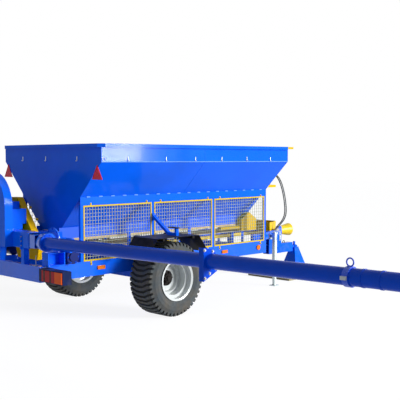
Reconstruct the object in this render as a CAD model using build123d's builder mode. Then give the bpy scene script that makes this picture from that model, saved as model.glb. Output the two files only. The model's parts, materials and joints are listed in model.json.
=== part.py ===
"""Towed lime spreader: hopper, belt conveyor, fan, air duct and two side booms.

Millimetres, +X towards the drawbar, +Y to the left, +Z up. The origin is on the
ground, under the middle of the machine.
"""

import math
import os

from build123d import *

os.makedirs("parts", exist_ok=True)

# Reach of the machine behind the wheels' axle, and of the drawbar ahead of the hopper
rear_reach = 2010
hopper_rear_reach = 1214
hopper_length = 3940
drawbar_reach = 1994
front_reach = hopper_length - hopper_rear_reach + drawbar_reach
axle_x = (rear_reach - front_reach) / 2
sides = (("right", -1), ("left", 1))
seat_gap = 0.3
moving_gap = 8
bearing_play = 0.05

# Hopper: a long trough of V section, folded upright at the top
hopper_rear_x = axle_x - hopper_rear_reach
hopper_front_x = hopper_rear_x + hopper_length
hopper_half_width = 1184
hopper_top = 2457
hopper_fold = 2212
hopper_floor = 1235
floor_half_width = 230
sheet = 5
rim_height = 50
rim_reach = 40
rim_corner = 78
wall_slope = (hopper_fold - hopper_floor) / (hopper_half_width - floor_half_width)

# Wheels
wheel_radius = 535
tyre_width = 500
track = 2260
bead_radius = 290
bead_half_width = 212
lug_depth = 24
lug_count = 44
lug_width = 40
lug_sweep = 52
# The tyre's half section: shares of half the width, and of the way from bead to tread
tyre_shares = (
    (0.848, 0),
    (1, 0.43),
    (0.975, 0.66),
    (0.87, 0.87),
    (0.72, 0.98),
    (0.6, 1),
)
# A lug's half section, in the same shares with the tread's top as 1
lug_shares = (
    (0.9, 0.74),
    (0.84, 0.93),
    (0.72, 1),
)
# A lug's centre line: shares of half the width across, and of the sweep along
lug_line_shares = ((0, 0), (0.32, 0.06), (0.74, 0.84), (1, 1))
rim_flange_radius = 305
rim_half_width = 228
rim_well_radius = 236
rim_well_half_width = 148
rim_sheet = 8
disc_step = 34
disc_dish = -20
disc_ring_radius = 196
disc_dish_radius = 184
disc_thickness = 14
hub_flange_radius = 112
hub_flange_thickness = 20
hub_hole_radius = 76
hub_barrel_radius = 64
hub_nose = 40
hub_cap_radius = 46
hub_cap_length = 26
hub_tail = 88
hub_end_wall = 8
spindle_radius = 35

# Axle
axle_section = 120
axle_half_length = 850
axle_pad_length = 260

# Chassis
rail_outer = 715
rail_depth = 80
rail_bottom = 630
rail_top = 840
rail_wall = 8
rail_nose = 10
rail_front_x = hopper_front_x + rail_nose
tail_beam_reach = 1870
tail_beam_rear_x = axle_x - tail_beam_reach
tail_beam_depth = 80
cross_beam_depth = 90
cross_beam_height = 130
cross_beam_shares = (0.0086, 0.308, 0.6355, 0.968)

# Side frames that carry the hopper and the mesh guards
post_width = 45
post_depth = 40
side_rail_depth = 60
side_rail_lip = 53.25
side_plate = 5
bay_count = 3

# Mesh guards
guard_frame_bar = 20
guard_thickness = 15
guard_gap = 4
guard_wire = 5
guard_layer_gap = 1
guard_columns = 24
guard_rows = 14
guard_tab_width = 24
guard_tab_rise = 34
guard_tongue_drop = 58
guard_tab_thickness = 5
guard_tab_shares = (0.1, 0.92)

# Belt conveyor under the hopper
belt_half_width = 270
belt_thickness = 10
belt_gap = 8
belt_top = hopper_floor - belt_gap
drum_radius = 110
drum_wall = 10
drum_shaft_radius = 25
belt_rear_inset = 60
belt_rear_x = hopper_rear_x + belt_rear_inset
belt_front_inset = 80
belt_front_x = hopper_front_x - belt_front_inset
skirt_thickness = 6
skirt_gap = 8
skirt_bottom = 1090
carrier_width = 60
drive_cover_rear = 186
drive_cover_front = 190
drive_cover_bottom = 1000
drive_cover_eaves = 1210
drive_cover_peak = 1326
drive_cover_depth = 110

# Through shaft from the drawbar to the fan's belts
shaft_height = 893
shaft_guard_radius = 30
shaft_guard_wall = 4
bearing_block_length = 60
bearing_block_width = 110
bearing_block_top = 945
stub_radius = 17.45

# Mudguards
mudguard_top = 1148
mudguard_inner = 885
mudguard_outer = 1390
mudguard_rear = 410
mudguard_front = 400
mudguard_drop = 258
mudguard_run = 200
mudguard_sheet = 4
mudguard_arm = 40
mudguard_arm_shares = (-0.625, 0.825)
mudguard_arm_gap = 8
mudguard_arm_drop = 170

# Boom rests on the second post
rest_width = 50
rest_arm = 40
rest_mount_top = 1450
rest_mount_height = 110
rest_mount_thickness = 20
rest_pad_length = 210
rest_pad_thickness = 16
rest_clearance = 7

# Booms
boom_root = 752
boom_tip = 6000
boom_reach = 1785
boom_x = axle_x - boom_reach
boom_root_height = 1153
boom_rise_share = 0.0138
boom_radius = 79
boom_wall = 4.5
boom_outer_radius = 81
boom_root_flange_radius = 114
boom_root_flange_thickness = 16
boom_flange_at = 3700
boom_flange_thickness = 34
boom_flange_gap = 1
boom_plate_width = 200
boom_plate_height = 350
boom_plate_shares = (
    (-0.53, 0.42),
    (0.24, 0.35),
    (0.46, 0.09),
    (0.46, -0.31),
    (-0.54, -0.58),
)
collar_shares = (0.927, 0.958)
collar_width = 20
collar_thickness = 4
clamp_at = 5425
clamp_width = 60
clamp_thickness = 12
clamp_eye_radius = 36
clamp_eye_bar = 7
clamp_lug = 34
boom_lean = 5.3
hinge_reach = 1600
hinge_x = axle_x - hinge_reach
hinge_out = 995
hinge_height = 1130
hinge_pin_radius = 18
hinge_barrel_radius = 34
hinge_barrel_height = 100
hinge_plate = 15
hinge_arm_height = 70

# Elbows and their pedestals
pedestal_reach = 1800
pedestal_rear_x = axle_x - pedestal_reach
pedestal_length = 265
pedestal_inner = 660
pedestal_outer = 805
pedestal_top = 1020
pedestal_plate = 12
pedestal_hole_radius = 9
elbow_radius = 112
elbow_wall = 6
elbow_bend_radius = 175
elbow_lead = 40
elbow_flange_radius = 150
elbow_flange_thickness = 14
elbow_flange_height = 1180
elbow_ring_radius = 116
elbow_ring_thickness = 14
elbow_foot_length = 180
elbow_box_inset = 10
motor_radius = 98
motor_length = 150
motor_reach = 1405
motor_x = axle_x - motor_reach
motor_face_radius = 62
motor_face_depth = 18

# Fan and air duct at the rear
fan_y = 415
fan_height = 1600
fan_reach = 1990
fan_rear_x = axle_x - fan_reach
fan_depth = 120
fan_outer_radius = 480
fan_radius_shares = (1, 0.896, 0.854)
fan_sheet = 5
fan_inlet_radius = 200
fan_inlet_ring = 22
fan_inlet_depth = 20
fan_shaft_radius = 25
impeller_radius = 330
impeller_depth = 80
impeller_hub_radius = 70
impeller_blades = 10
impeller_blade_thickness = 6
impeller_sheet = 6
spout_width = 250
spout_bottom = 1290
duct_bottom = 1060
duct_top = 1270
duct_rear_x = fan_rear_x + fan_depth
duct_depth = 190
duct_half_length = 452
duct_wall = 5
duct_flange = 22
duct_flange_thickness = 14
duct_flange_at = 280
duct_leg_at = 300
duct_leg_width = 70
bearing_box_inner = 100
bearing_box_outer = 700
bearing_box_top = 1555
bearing_box_wall = 6
bearing_box_step = 1345

# Yellow cover over the fan's belts
belt_cover_reach = 1550
belt_cover_rear_x = axle_x - belt_cover_reach
belt_cover_depth = 100
belt_cover_wall = 4
belt_cover_inner = -206
belt_cover_bottom = 850
belt_cover_width = 766
belt_cover_height = 855
belt_cover_shares = (
    (0.054, 0),
    (0.7, 0),
    (1, 0.725),
    (1, 0.924),
    (0.922, 1),
    (0.706, 1),
    (0, 0.21),
)

# Discharge chute behind the conveyor
chute_depth = 216
chute_rear_x = hopper_rear_x - chute_depth
chute_bottom = 990
chute_wall = 5

# Rear lamps, reflectors and side markers
lamp_inner = rail_outer
lamp_outer = 1245
lamp_bottom = 655
lamp_top = 825
lamp_depth = 120
lamp_wall = 6
lens_inset = 10
lens_border = 13
lens_length = 440
lens_outer = lamp_outer - lens_inset
lens_inner = lens_outer - lens_length
lens_bottom = lamp_bottom + lens_border
lens_top = lamp_top - lens_border
lens_thickness = 15
reflector_inset = 84
reflector_middle = hopper_half_width - reflector_inset
reflector_bottom = 1978
reflector_width = 220
reflector_height = 193
reflector_thickness = 8
marker_shares = (0.0873, 0.732)
marker_length = 130
marker_height = 52
marker_thickness = 18
marker_middle = 739
round_marker_inset = 206
round_marker_radius = 44

# Drawbar
arm_foot_length = 276
arm_rear_x = hopper_front_x - arm_foot_length
arm_reach = 1174
arm_front_x = hopper_front_x + arm_reach
arm_rear_y = 640
arm_front_y = 104
arm_width = 60
arm_height = 120
neck_reach = 874
neck_rear_x = hopper_front_x + neck_reach
neck_length = 360
neck_inner = 60
neck_plate = 15
neck_top = 975
beam_bottom = 465
beam_top = 640
beam_reach = 1604
beam_front_x = hopper_front_x + beam_reach
beam_wall = 10
eye_reach = 1729
eye_x = hopper_front_x + eye_reach
eye_radius = 62
eye_bore_radius = 25
eye_thickness = 36
eye_shank_width = 60

# Power take-off shield and stub
shield_rear_x = neck_rear_x + neck_length + neck_plate
shield_length = 290
shield_rear_radius = 70
shield_front_radius = 118
shield_wall = 4
shield_plate = 12
stub_from_shield = 40

# Yellow tray on the drawbar's arms
tray_reach = 434
tray_rear_x = hopper_front_x + tray_reach
tray_length = 400
tray_front_x = tray_rear_x + tray_length
tray_height = 150
tray_wall = 4

# Parking jack
jack_reach = 359
jack_x = hopper_front_x + jack_reach
jack_y = -620
jack_tube = 60
jack_tube_wall = 4
jack_leg_side = jack_tube - 2 * (jack_tube_wall + seat_gap)
jack_tube_bottom = 420
jack_tube_top = 925
jack_leg_top = 780
jack_foot_side = 132
jack_foot_thickness = 12
jack_bracket_height = 70
jack_head_height = 26
jack_head_side = 84
jack_travel = 250

# Hitch stand under the drawbar's eye
stand_base_reach = 934
stand_base_rear_x = hopper_front_x + stand_base_reach
stand_base_half_width = 500
stand_base_thickness = 30
stand_top_half = 62
stand_foot_half = 205
stand_plate = 10
stand_wall = 5
stand_hole_radius = 36

# Hoses from the hopper's front to the drawbar: points of the inner hose, X from the hopper
hose_radius = 10
hose_spread = 34
hose_collar_radius = 14
hose_run_share = 0.45
hose_route = (
    (157, -633, 1822),
    (157, -633, 1885),
    (189, -633, 1950),
    (259, -632, 1985),
    (344, -631, 1975),
    (429, -629, 1920),
    (519, -622, 1810),
    (609, -606, 1640),
    (689, -580, 1450),
    (744, -545, 1290),
    (754, -510, 1190),
    (724, -475, 1110),
    (669, -448, 1050),
    (626, -434, 1000),
)
coupling_reach = 574
coupling_rear_x = hopper_front_x + coupling_reach
coupling_length = 80
coupling_outer = 490
coupling_height = 25
coupling_collar_length = 30
hose_bracket_height = 40
hose_bracket_inset = 65
hose_bracket_y = hose_bracket_inset - rail_outer
hose_bracket_reach = 300
hose_bracket_middle = 1780

# Yellow crank bracket on the rim
crank_bracket_inset = 94
crank_bracket_y = crank_bracket_inset - hopper_half_width
crank_bracket_width = 60
crank_bracket_height = 34
crank_bracket_reach = 200


def block(x, y, z, mode=Mode.ADD):
    """A box between two places along each axis."""
    with Locations(((x[0] + x[1]) / 2, (y[0] + y[1]) / 2, (z[0] + z[1]) / 2)):
        Box(abs(x[1] - x[0]), abs(y[1] - y[0]), abs(z[1] - z[0]), mode=mode)


def write(piece, label):
    """Labels a finished piece and writes its file."""
    piece.part.label = label
    export_step(piece.part, f"parts/{label}.step")


def across(sign, distance):
    """The upright plane along the machine, this far out on one side."""
    return Plane.XZ.offset(-sign * distance)


def rod_along_x(x, y, z, radius, mode=Mode.ADD):
    """A round bar along the machine between two X places."""
    with Locations(((x[0] + x[1]) / 2, y, z)):
        Cylinder(radius, x[1] - x[0], rotation=(0, 90, 0), mode=mode)


def wall_height(y):
    """Height of the sloping wall's outer face at a distance from the middle."""
    return hopper_fold - (hopper_half_width - y) * wall_slope


side_rail_inner = rail_outer - side_rail_depth
side_rail_bottom = wall_height(side_rail_inner) - side_rail_lip

# Hopper walls: one folded sheet on each side
for side, sign in sides:
    with BuildPart() as hopper_wall:
        with BuildSketch(Plane.YZ.offset(hopper_rear_x + sheet)):
            with BuildLine():
                Polyline(
                    (sign * floor_half_width, hopper_floor),
                    (sign * hopper_half_width, hopper_fold),
                    (sign * hopper_half_width, hopper_top),
                    (sign * (hopper_half_width - sheet), hopper_top),
                    (sign * (hopper_half_width - sheet), hopper_fold + sheet),
                    (sign * (floor_half_width - sheet), hopper_floor + sheet),
                    (sign * (floor_half_width - sheet), hopper_floor),
                    close=True,
                )
            make_face()
        extrude(amount=hopper_length - 2 * sheet)
    write(hopper_wall, f"hopper_wall_{side}")

# Hopper ends: upright V plates
with BuildPart() as hopper_ends:
    for end_x in (hopper_rear_x, hopper_front_x - sheet):
        with BuildSketch(Plane.YZ.offset(end_x)):
            with BuildLine():
                Polyline(
                    (-floor_half_width, hopper_floor),
                    (-hopper_half_width, hopper_fold),
                    (-hopper_half_width, hopper_top),
                    (hopper_half_width, hopper_top),
                    (hopper_half_width, hopper_fold),
                    (floor_half_width, hopper_floor),
                    close=True,
                )
            make_face()
        extrude(amount=sheet)
write(hopper_ends, "hopper_ends")

# Hopper rim: a folded channel round the top, with cut corners
with BuildPart() as hopper_rim:
    with BuildSketch(Plane.XY.offset(hopper_top - rim_height)):
        with Locations((hopper_rear_x + hopper_length / 2, 0)):
            Rectangle(hopper_length + 2 * rim_reach, 2 * (hopper_half_width + rim_reach))
            chamfer(vertices(), rim_corner)
            Rectangle(hopper_length, 2 * hopper_half_width, mode=Mode.SUBTRACT)
    extrude(amount=rim_height)
    with BuildSketch(Plane.XY.offset(hopper_top - rim_height)):
        with Locations((hopper_rear_x + hopper_length / 2, 0)):
            Rectangle(
                hopper_length + 2 * (rim_reach - sheet),
                2 * (hopper_half_width + rim_reach - sheet),
            )
            chamfer(vertices(), rim_corner)
            Rectangle(hopper_length, 2 * hopper_half_width, mode=Mode.SUBTRACT)
    extrude(amount=rim_height - sheet, mode=Mode.SUBTRACT)
write(hopper_rim, "hopper_rim")

# Chassis: two channel rails and the tail beam
rail_rear_x = tail_beam_rear_x + tail_beam_depth
cross_beams = [hopper_rear_x + share * hopper_length for share in cross_beam_shares]
with BuildPart() as chassis_frame:
    for side, sign in sides:
        rail_y = (sign * (rail_outer - rail_depth), sign * rail_outer)
        block((rail_rear_x, rail_front_x), rail_y, (rail_bottom, rail_top))
        block(
            (rail_rear_x, rail_front_x),
            (sign * (rail_outer - rail_depth), sign * (rail_outer - rail_wall)),
            (rail_bottom + rail_wall, rail_top - rail_wall),
            mode=Mode.SUBTRACT,
        )
    block(
        (tail_beam_rear_x, rail_rear_x),
        (-rail_outer, rail_outer),
        (rail_bottom, rail_top),
    )
    block(
        (tail_beam_rear_x + rail_wall, rail_rear_x),
        (-rail_outer + rail_wall, rail_outer - rail_wall),
        (rail_bottom + rail_wall, rail_top - rail_wall),
        mode=Mode.SUBTRACT,
    )
write(chassis_frame, "chassis_frame")

# Cross members: channels laid between the rails
with BuildPart() as cross_members:
    for beam_x in cross_beams:
        block(
            (beam_x - cross_beam_depth / 2, beam_x + cross_beam_depth / 2),
            (-rail_outer + rail_wall, rail_outer - rail_wall),
            (rail_bottom + rail_wall, rail_bottom + cross_beam_height),
        )
        block(
            (beam_x - cross_beam_depth / 2 + rail_wall, beam_x + cross_beam_depth / 2),
            (-rail_outer + rail_depth, rail_outer - rail_depth),
            (rail_bottom + 2 * rail_wall, rail_bottom + cross_beam_height - rail_wall),
            mode=Mode.SUBTRACT,
        )
write(cross_members, "cross_members")

# Axle: a square bar with round spindles, hung under the rails by two seats
spindle_start = axle_half_length
spindle_end = track / 2 + hub_nose - hub_end_wall - moving_gap
with BuildPart() as axle:
    block(
        (axle_x - axle_section / 2, axle_x + axle_section / 2),
        (-axle_half_length, axle_half_length),
        (wheel_radius - axle_section / 2, wheel_radius + axle_section / 2),
    )
    for side, sign in sides:
        block(
            (axle_x - axle_pad_length / 2, axle_x + axle_pad_length / 2),
            (sign * (rail_outer - rail_depth), sign * rail_outer),
            (wheel_radius + axle_section / 2, rail_bottom),
        )
        with BuildSketch(across(sign, spindle_start)):
            with Locations((axle_x, wheel_radius)):
                Circle(spindle_radius)
        extrude(amount=-sign * (spindle_end - spindle_start))
write(axle, "axle")

# Wheels: a tyre with curved lugs, a deep stepped rim and a hub
carcass_radius = wheel_radius - lug_depth
half_width = tyre_width / 2
tyre_half = [
    (w * half_width, bead_radius + h * (carcass_radius - bead_radius)) for w, h in tyre_shares
]
lug_half = [(w * half_width, bead_radius + h * (wheel_radius - bead_radius)) for w, h in lug_shares]
lug_reach = max(w for w, h in lug_half)
lug_line = [(w * lug_reach, s * lug_sweep - lug_sweep / 2) for w, s in lug_line_shares]
lug_pitch = 360 / lug_count
for side, sign in sides:
    wheel_middle = sign * track / 2
    wheel_centre = (axle_x, wheel_middle, wheel_radius)
    wheel_axis = Axis(wheel_centre, (0, 1, 0))
    wheel_plane = Plane(origin=wheel_centre, x_dir=(0, sign, 0), z_dir=(sign, 0, 0))
    with BuildPart() as lug:
        with BuildSketch(wheel_plane):
            with BuildLine():
                Polyline(
                    [(-w, r) for w, r in lug_half] + [(w, r) for w, r in reversed(lug_half)],
                    close=True,
                )
            make_face()
        revolve(axis=wheel_axis)
        with BuildSketch(Plane(origin=wheel_centre, x_dir=(1, 0, 0), z_dir=(0, 0, 1))):
            with BuildLine():
                Polyline(
                    [(x - lug_width / 2, -w) for w, x in reversed(lug_line)]
                    + [(x - lug_width / 2, w) for w, x in lug_line[1:]]
                    + [(x + lug_width / 2, w) for w, x in reversed(lug_line)]
                    + [(x + lug_width / 2, -w) for w, x in lug_line[1:]],
                    close=True,
                )
            make_face()
        extrude(amount=2 * wheel_radius, mode=Mode.INTERSECT)
    with BuildPart() as tyre:
        with BuildSketch(wheel_plane):
            with BuildLine():
                Polyline(
                    [(-w, r) for w, r in tyre_half] + [(w, r) for w, r in reversed(tyre_half)],
                    close=True,
                )
            make_face()
        revolve(axis=wheel_axis)
        add([lug.part.rotate(wheel_axis, i * lug_pitch) for i in range(lug_count)])
    write(tyre, f"tyre_{side}")

    well = rim_well_half_width
    rim_out = (
        (rim_half_width, rim_flange_radius),
        (bead_half_width + seat_gap, bead_radius - seat_gap),
        (well, bead_radius - rim_sheet),
        (well - rim_sheet, rim_well_radius),
    )
    rim_in = (
        (well, rim_well_radius - rim_sheet),
        (well + rim_sheet, bead_radius - 2 * rim_sheet),
        (rim_half_width, bead_radius - 2 * rim_sheet),
        (rim_half_width + rim_sheet, rim_flange_radius),
    )
    with BuildPart() as wheel_rim:
        with BuildSketch(wheel_plane):
            with BuildLine():
                Polyline(
                    [(-w, r) for w, r in rim_out]
                    + [(w, r) for w, r in reversed(rim_out)]
                    + [(w, r) for w, r in reversed(rim_in)]
                    + [(-w, r) for w, r in rim_in],
                    close=True,
                )
            make_face()
        with BuildSketch(wheel_plane):
            with BuildLine():
                Polyline(
                    (disc_step - disc_thickness, rim_well_radius - rim_sheet),
                    (disc_step, rim_well_radius - rim_sheet),
                    (disc_step, disc_ring_radius),
                    (disc_dish, disc_dish_radius),
                    (disc_dish, hub_hole_radius + seat_gap),
                    (disc_dish - disc_thickness, hub_hole_radius + seat_gap),
                    (disc_dish - disc_thickness, disc_dish_radius + disc_thickness),
                    (disc_step - disc_thickness, disc_ring_radius + disc_thickness),
                    close=True,
                )
            make_face()
        revolve(axis=wheel_axis)
    write(wheel_rim, f"wheel_rim_{side}")

    with BuildPart() as wheel_hub:
        with BuildSketch(wheel_plane):
            with BuildLine():
                Polyline(
                    (-hub_tail, spindle_radius + bearing_play),
                    (-hub_tail, hub_hole_radius),
                    (disc_dish, hub_hole_radius),
                    (disc_dish, hub_flange_radius),
                    (disc_dish + hub_flange_thickness, hub_flange_radius),
                    (disc_dish + hub_flange_thickness, hub_barrel_radius),
                    (hub_nose, hub_barrel_radius),
                    (hub_nose, hub_cap_radius),
                    (hub_nose + hub_cap_length, hub_cap_radius - hub_end_wall),
                    (hub_nose + hub_cap_length, 0),
                    (hub_nose - hub_end_wall, 0),
                    (hub_nose - hub_end_wall, spindle_radius + bearing_play),
                    close=True,
                )
            make_face()
        revolve(axis=wheel_axis)
    write(wheel_hub, f"wheel_hub_{side}")

# Side frames: posts and a folded top rail that lies along the sloping wall
post_pitch = (hopper_length - post_width) / bay_count
post_places = [hopper_rear_x + post_width / 2 + i * post_pitch for i in range(bay_count + 1)]
with BuildPart() as side_frames:
    for side, sign in sides:
        with BuildSketch(Plane.YZ.offset(hopper_rear_x)):
            with BuildLine():
                Polyline(
                    (sign * side_rail_inner, side_rail_bottom),
                    (sign * rail_outer, side_rail_bottom),
                    (sign * rail_outer, wall_height(rail_outer)),
                    (sign * side_rail_inner, wall_height(side_rail_inner)),
                    close=True,
                )
            make_face()
            with BuildLine():
                Polyline(
                    (sign * side_rail_inner, side_rail_bottom + side_plate),
                    (sign * (rail_outer - side_plate), side_rail_bottom + side_plate),
                    (
                        sign * (rail_outer - side_plate),
                        wall_height(rail_outer - side_plate) - 2 * side_plate,
                    ),
                    (
                        sign * side_rail_inner,
                        wall_height(side_rail_inner) - 2 * side_plate,
                    ),
                    close=True,
                )
            make_face(mode=Mode.SUBTRACT)
        extrude(amount=hopper_length)
        for post_x in post_places:
            block(
                (post_x - post_width / 2, post_x + post_width / 2),
                (sign * (rail_outer - post_depth), sign * rail_outer),
                (rail_top, side_rail_bottom),
            )
            block(
                (post_x - post_width / 2 + side_plate, post_x + post_width / 2 - side_plate),
                (sign * (rail_outer - post_depth), sign * (rail_outer - side_plate)),
                (rail_top, side_rail_bottom),
                mode=Mode.SUBTRACT,
            )
write(side_frames, "side_frames")

# Mesh guards: a frame with upright wires in one layer and level wires in another
guard_width = post_pitch - post_width - 2 * guard_gap
guard_bottom = rail_top + guard_gap
guard_top = side_rail_bottom - guard_gap
guard_height = guard_top - guard_bottom
guard_inner = rail_outer + guard_tab_thickness - guard_thickness
column_pitch = (guard_width - guard_frame_bar) / (guard_columns + 1)
row_pitch = (guard_height - guard_frame_bar) / (guard_rows + 1)
with BuildPart() as mesh_guards:
    for side, sign in sides:
        for bay in range(bay_count):
            bay_x = post_places[bay] + post_pitch / 2
            with BuildSketch(across(sign, guard_inner)):
                with Locations((bay_x, (guard_bottom + guard_top) / 2)):
                    Rectangle(guard_width, guard_height)
                    Rectangle(
                        guard_width - 2 * guard_frame_bar,
                        guard_height - 2 * guard_frame_bar,
                        mode=Mode.SUBTRACT,
                    )
            extrude(amount=-sign * guard_thickness)
            with BuildSketch(across(sign, guard_inner + guard_thickness - guard_wire)):
                with Locations((bay_x, (guard_bottom + guard_top) / 2)):
                    with GridLocations(column_pitch, 0, guard_columns, 1):
                        Rectangle(guard_wire, guard_height - guard_frame_bar)
            extrude(amount=-sign * guard_wire)
            row_plane = across(
                sign, guard_inner + guard_thickness - 2 * guard_wire - guard_layer_gap
            )
            with BuildSketch(row_plane):
                with Locations((bay_x, (guard_bottom + guard_top) / 2)):
                    with GridLocations(0, row_pitch, 1, guard_rows):
                        Rectangle(guard_width - guard_frame_bar, guard_wire)
            extrude(amount=-sign * guard_wire)
            for share in guard_tab_shares:
                tab_x = bay_x + (share - 1 / 2) * guard_width
                tab_span = (tab_x - guard_tab_width / 2, tab_x + guard_tab_width / 2)
                tab_y = (sign * rail_outer, sign * (rail_outer + guard_tab_thickness))
                block(tab_span, tab_y, (guard_top, guard_top + guard_tab_rise))
                block(tab_span, tab_y, (guard_bottom - guard_tongue_drop, guard_bottom))
write(mesh_guards, "mesh_guards")

# Belt conveyor: an endless belt round two drums, between two skirts
belt_outer_radius = drum_radius + belt_thickness
belt_middle = belt_top - belt_outer_radius
belt_length = belt_front_x - belt_rear_x
skirt_inner = belt_half_width + skirt_gap
skirt_outer = skirt_inner + skirt_thickness
with BuildPart() as conveyor_belt:
    with BuildSketch(Plane.XZ.offset(-belt_half_width)):
        with Locations(((belt_rear_x + belt_front_x) / 2, belt_middle)):
            SlotCenterToCenter(belt_length, 2 * belt_outer_radius)
            SlotCenterToCenter(belt_length, 2 * drum_radius, mode=Mode.SUBTRACT)
    extrude(amount=2 * belt_half_width)
write(conveyor_belt, "conveyor_belt")

with BuildPart() as conveyor_drums:
    for drum_x in (belt_rear_x, belt_front_x):
        with BuildSketch(Plane.XZ.offset(-belt_half_width)):
            with Locations((drum_x, belt_middle)):
                Circle(drum_radius - seat_gap)
                Circle(drum_radius - drum_wall, mode=Mode.SUBTRACT)
                Circle(drum_shaft_radius)
                Rectangle(2 * drum_radius - drum_wall, drum_wall)
        extrude(amount=2 * belt_half_width)
        with BuildSketch(Plane.XZ.offset(-skirt_inner)):
            with Locations((drum_x, belt_middle)):
                Circle(drum_shaft_radius)
        extrude(amount=2 * skirt_inner)
write(conveyor_drums, "conveyor_drums")

skirt_rear_x = belt_rear_x - drum_radius
skirt_front_x = belt_front_x + drum_shaft_radius
carrier_foot = rail_bottom + cross_beam_height
with BuildPart() as conveyor_frame:
    for side, sign in sides:
        with BuildSketch(across(sign, skirt_inner)):
            with BuildLine():
                Polyline(
                    (skirt_rear_x, wall_height(skirt_inner) - seat_gap),
                    (skirt_rear_x, belt_middle - 2 * drum_shaft_radius),
                    (belt_rear_x + drum_radius, belt_middle - 2 * drum_shaft_radius),
                    (belt_rear_x + drum_radius + skirt_gap, skirt_bottom),
                    (belt_front_x - drum_radius - skirt_gap, skirt_bottom),
                    (belt_front_x - drum_radius, belt_middle - 2 * drum_shaft_radius),
                    (skirt_front_x, belt_middle - 2 * drum_shaft_radius),
                    (skirt_front_x, wall_height(skirt_inner) - seat_gap),
                    close=True,
                )
            make_face()
        extrude(amount=-sign * skirt_thickness)
write(conveyor_frame, "conveyor_frame")

with BuildPart() as conveyor_carriers:
    for side, sign in sides:
        for beam_x in cross_beams:
            block(
                (beam_x - carrier_width / 2, beam_x + carrier_width / 2),
                (sign * skirt_outer, sign * (skirt_outer + skirt_thickness)),
                (carrier_foot, skirt_bottom + carrier_width),
            )
write(conveyor_carriers, "conveyor_carriers")

cover_middle_x = belt_front_x
with BuildPart() as drive_cover:
    with BuildSketch(across(-1, skirt_outer)):
        with BuildLine():
            Polyline(
                (cover_middle_x - drive_cover_rear, drive_cover_bottom),
                (cover_middle_x + drive_cover_front, drive_cover_bottom),
                (cover_middle_x + drive_cover_front, drive_cover_eaves),
                (cover_middle_x, drive_cover_peak),
                (cover_middle_x - drive_cover_rear, drive_cover_eaves),
                close=True,
            )
        make_face()
    extrude(amount=drive_cover_depth)
    with BuildSketch(across(-1, skirt_outer)):
        with BuildLine():
            Polyline(
                (cover_middle_x - drive_cover_rear + sheet, drive_cover_bottom),
                (cover_middle_x + drive_cover_front - sheet, drive_cover_bottom),
                (cover_middle_x + drive_cover_front - sheet, drive_cover_eaves - sheet),
                (cover_middle_x, drive_cover_peak - sheet),
                (cover_middle_x - drive_cover_rear + sheet, drive_cover_eaves - sheet),
                close=True,
            )
        make_face()
    extrude(amount=drive_cover_depth - sheet, mode=Mode.SUBTRACT)
    trim_y = skirt_outer + drive_cover_depth / 2
    with BuildSketch(Plane.YZ.offset(cover_middle_x - drive_cover_rear)):
        with BuildLine():
            Polyline(
                (-skirt_inner, wall_height(skirt_inner) - skirt_gap),
                (-trim_y, wall_height(trim_y) - skirt_gap),
                (-skirt_inner, wall_height(trim_y) - skirt_gap),
                close=True,
            )
        make_face()
    extrude(amount=drive_cover_rear + drive_cover_front, mode=Mode.SUBTRACT)
write(drive_cover, "drive_cover")

# Through shaft in its yellow tube, on a bearing block at each cross member
shaft_rear_x = belt_cover_rear_x + belt_cover_depth
with BuildPart() as shaft_tube:
    rod_along_x((shaft_rear_x, shield_rear_x), 0, shaft_height, shaft_guard_radius)
    rod_along_x(
        (shaft_rear_x, shield_rear_x - shaft_guard_wall),
        0,
        shaft_height,
        shaft_guard_radius - shaft_guard_wall,
        mode=Mode.SUBTRACT,
    )
write(shaft_tube, "shaft_tube")

with BuildPart() as shaft_bearings:
    for beam_x in cross_beams:
        block(
            (beam_x - bearing_block_length / 2, beam_x + bearing_block_length / 2),
            (-bearing_block_width / 2, bearing_block_width / 2),
            (carrier_foot, bearing_block_top),
        )
        rod_along_x(
            (beam_x - bearing_block_length, beam_x + bearing_block_length),
            0,
            shaft_height,
            shaft_guard_radius + seat_gap,
            mode=Mode.SUBTRACT,
        )
write(shaft_bearings, "shaft_bearings")

# Mudguards: a folded plate on two cranked arms from the rail
mudguard_points = (
    (-mudguard_rear - mudguard_run, mudguard_top - mudguard_drop),
    (-mudguard_rear, mudguard_top),
    (mudguard_front, mudguard_top),
    (mudguard_front + mudguard_run, mudguard_top - mudguard_drop),
)
with BuildPart() as mudguards:
    for side, sign in sides:
        with BuildSketch(across(sign, mudguard_inner)):
            with BuildLine():
                Polyline(
                    [(axle_x + x, z) for x, z in mudguard_points]
                    + [(axle_x + x, z - mudguard_sheet) for x, z in reversed(mudguard_points)],
                    close=True,
                )
            make_face()
        extrude(amount=-sign * (mudguard_outer - mudguard_inner))
        for share in mudguard_arm_shares:
            place = axle_x + share * mudguard_front
            arm_x = (place - mudguard_arm / 2, place + mudguard_arm / 2)
            arm_y = rail_outer + mudguard_arm_gap
            block(
                arm_x,
                (sign * rail_outer, sign * arm_y),
                (rail_top - mudguard_arm_drop, rail_top),
            )
            block(
                arm_x,
                (sign * arm_y, sign * (arm_y + mudguard_arm)),
                (rail_top - mudguard_arm_drop, mudguard_top - mudguard_sheet),
            )
            block(
                arm_x,
                (sign * arm_y, sign * (mudguard_outer - mudguard_arm)),
                (mudguard_top - mudguard_sheet - mudguard_arm, mudguard_top - mudguard_sheet),
            )
write(mudguards, "mudguards")


def hinge_plane(sign, height=0):
    """The plane square to a boom's leaning hinge, raised along the hinge."""
    lean = math.radians(boom_lean)
    foot = Plane(
        origin=(hinge_x, sign * hinge_out, hinge_height),
        x_dir=(math.cos(lean), 0, math.sin(lean)),
        z_dir=(-math.sin(lean), 0, math.cos(lean)),
    )
    return foot.offset(height)


def boom_height(y):
    """Height of the boom's middle at a distance from the middle of the machine."""
    return boom_root_height + boom_rise_share * (y - boom_root)


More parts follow.
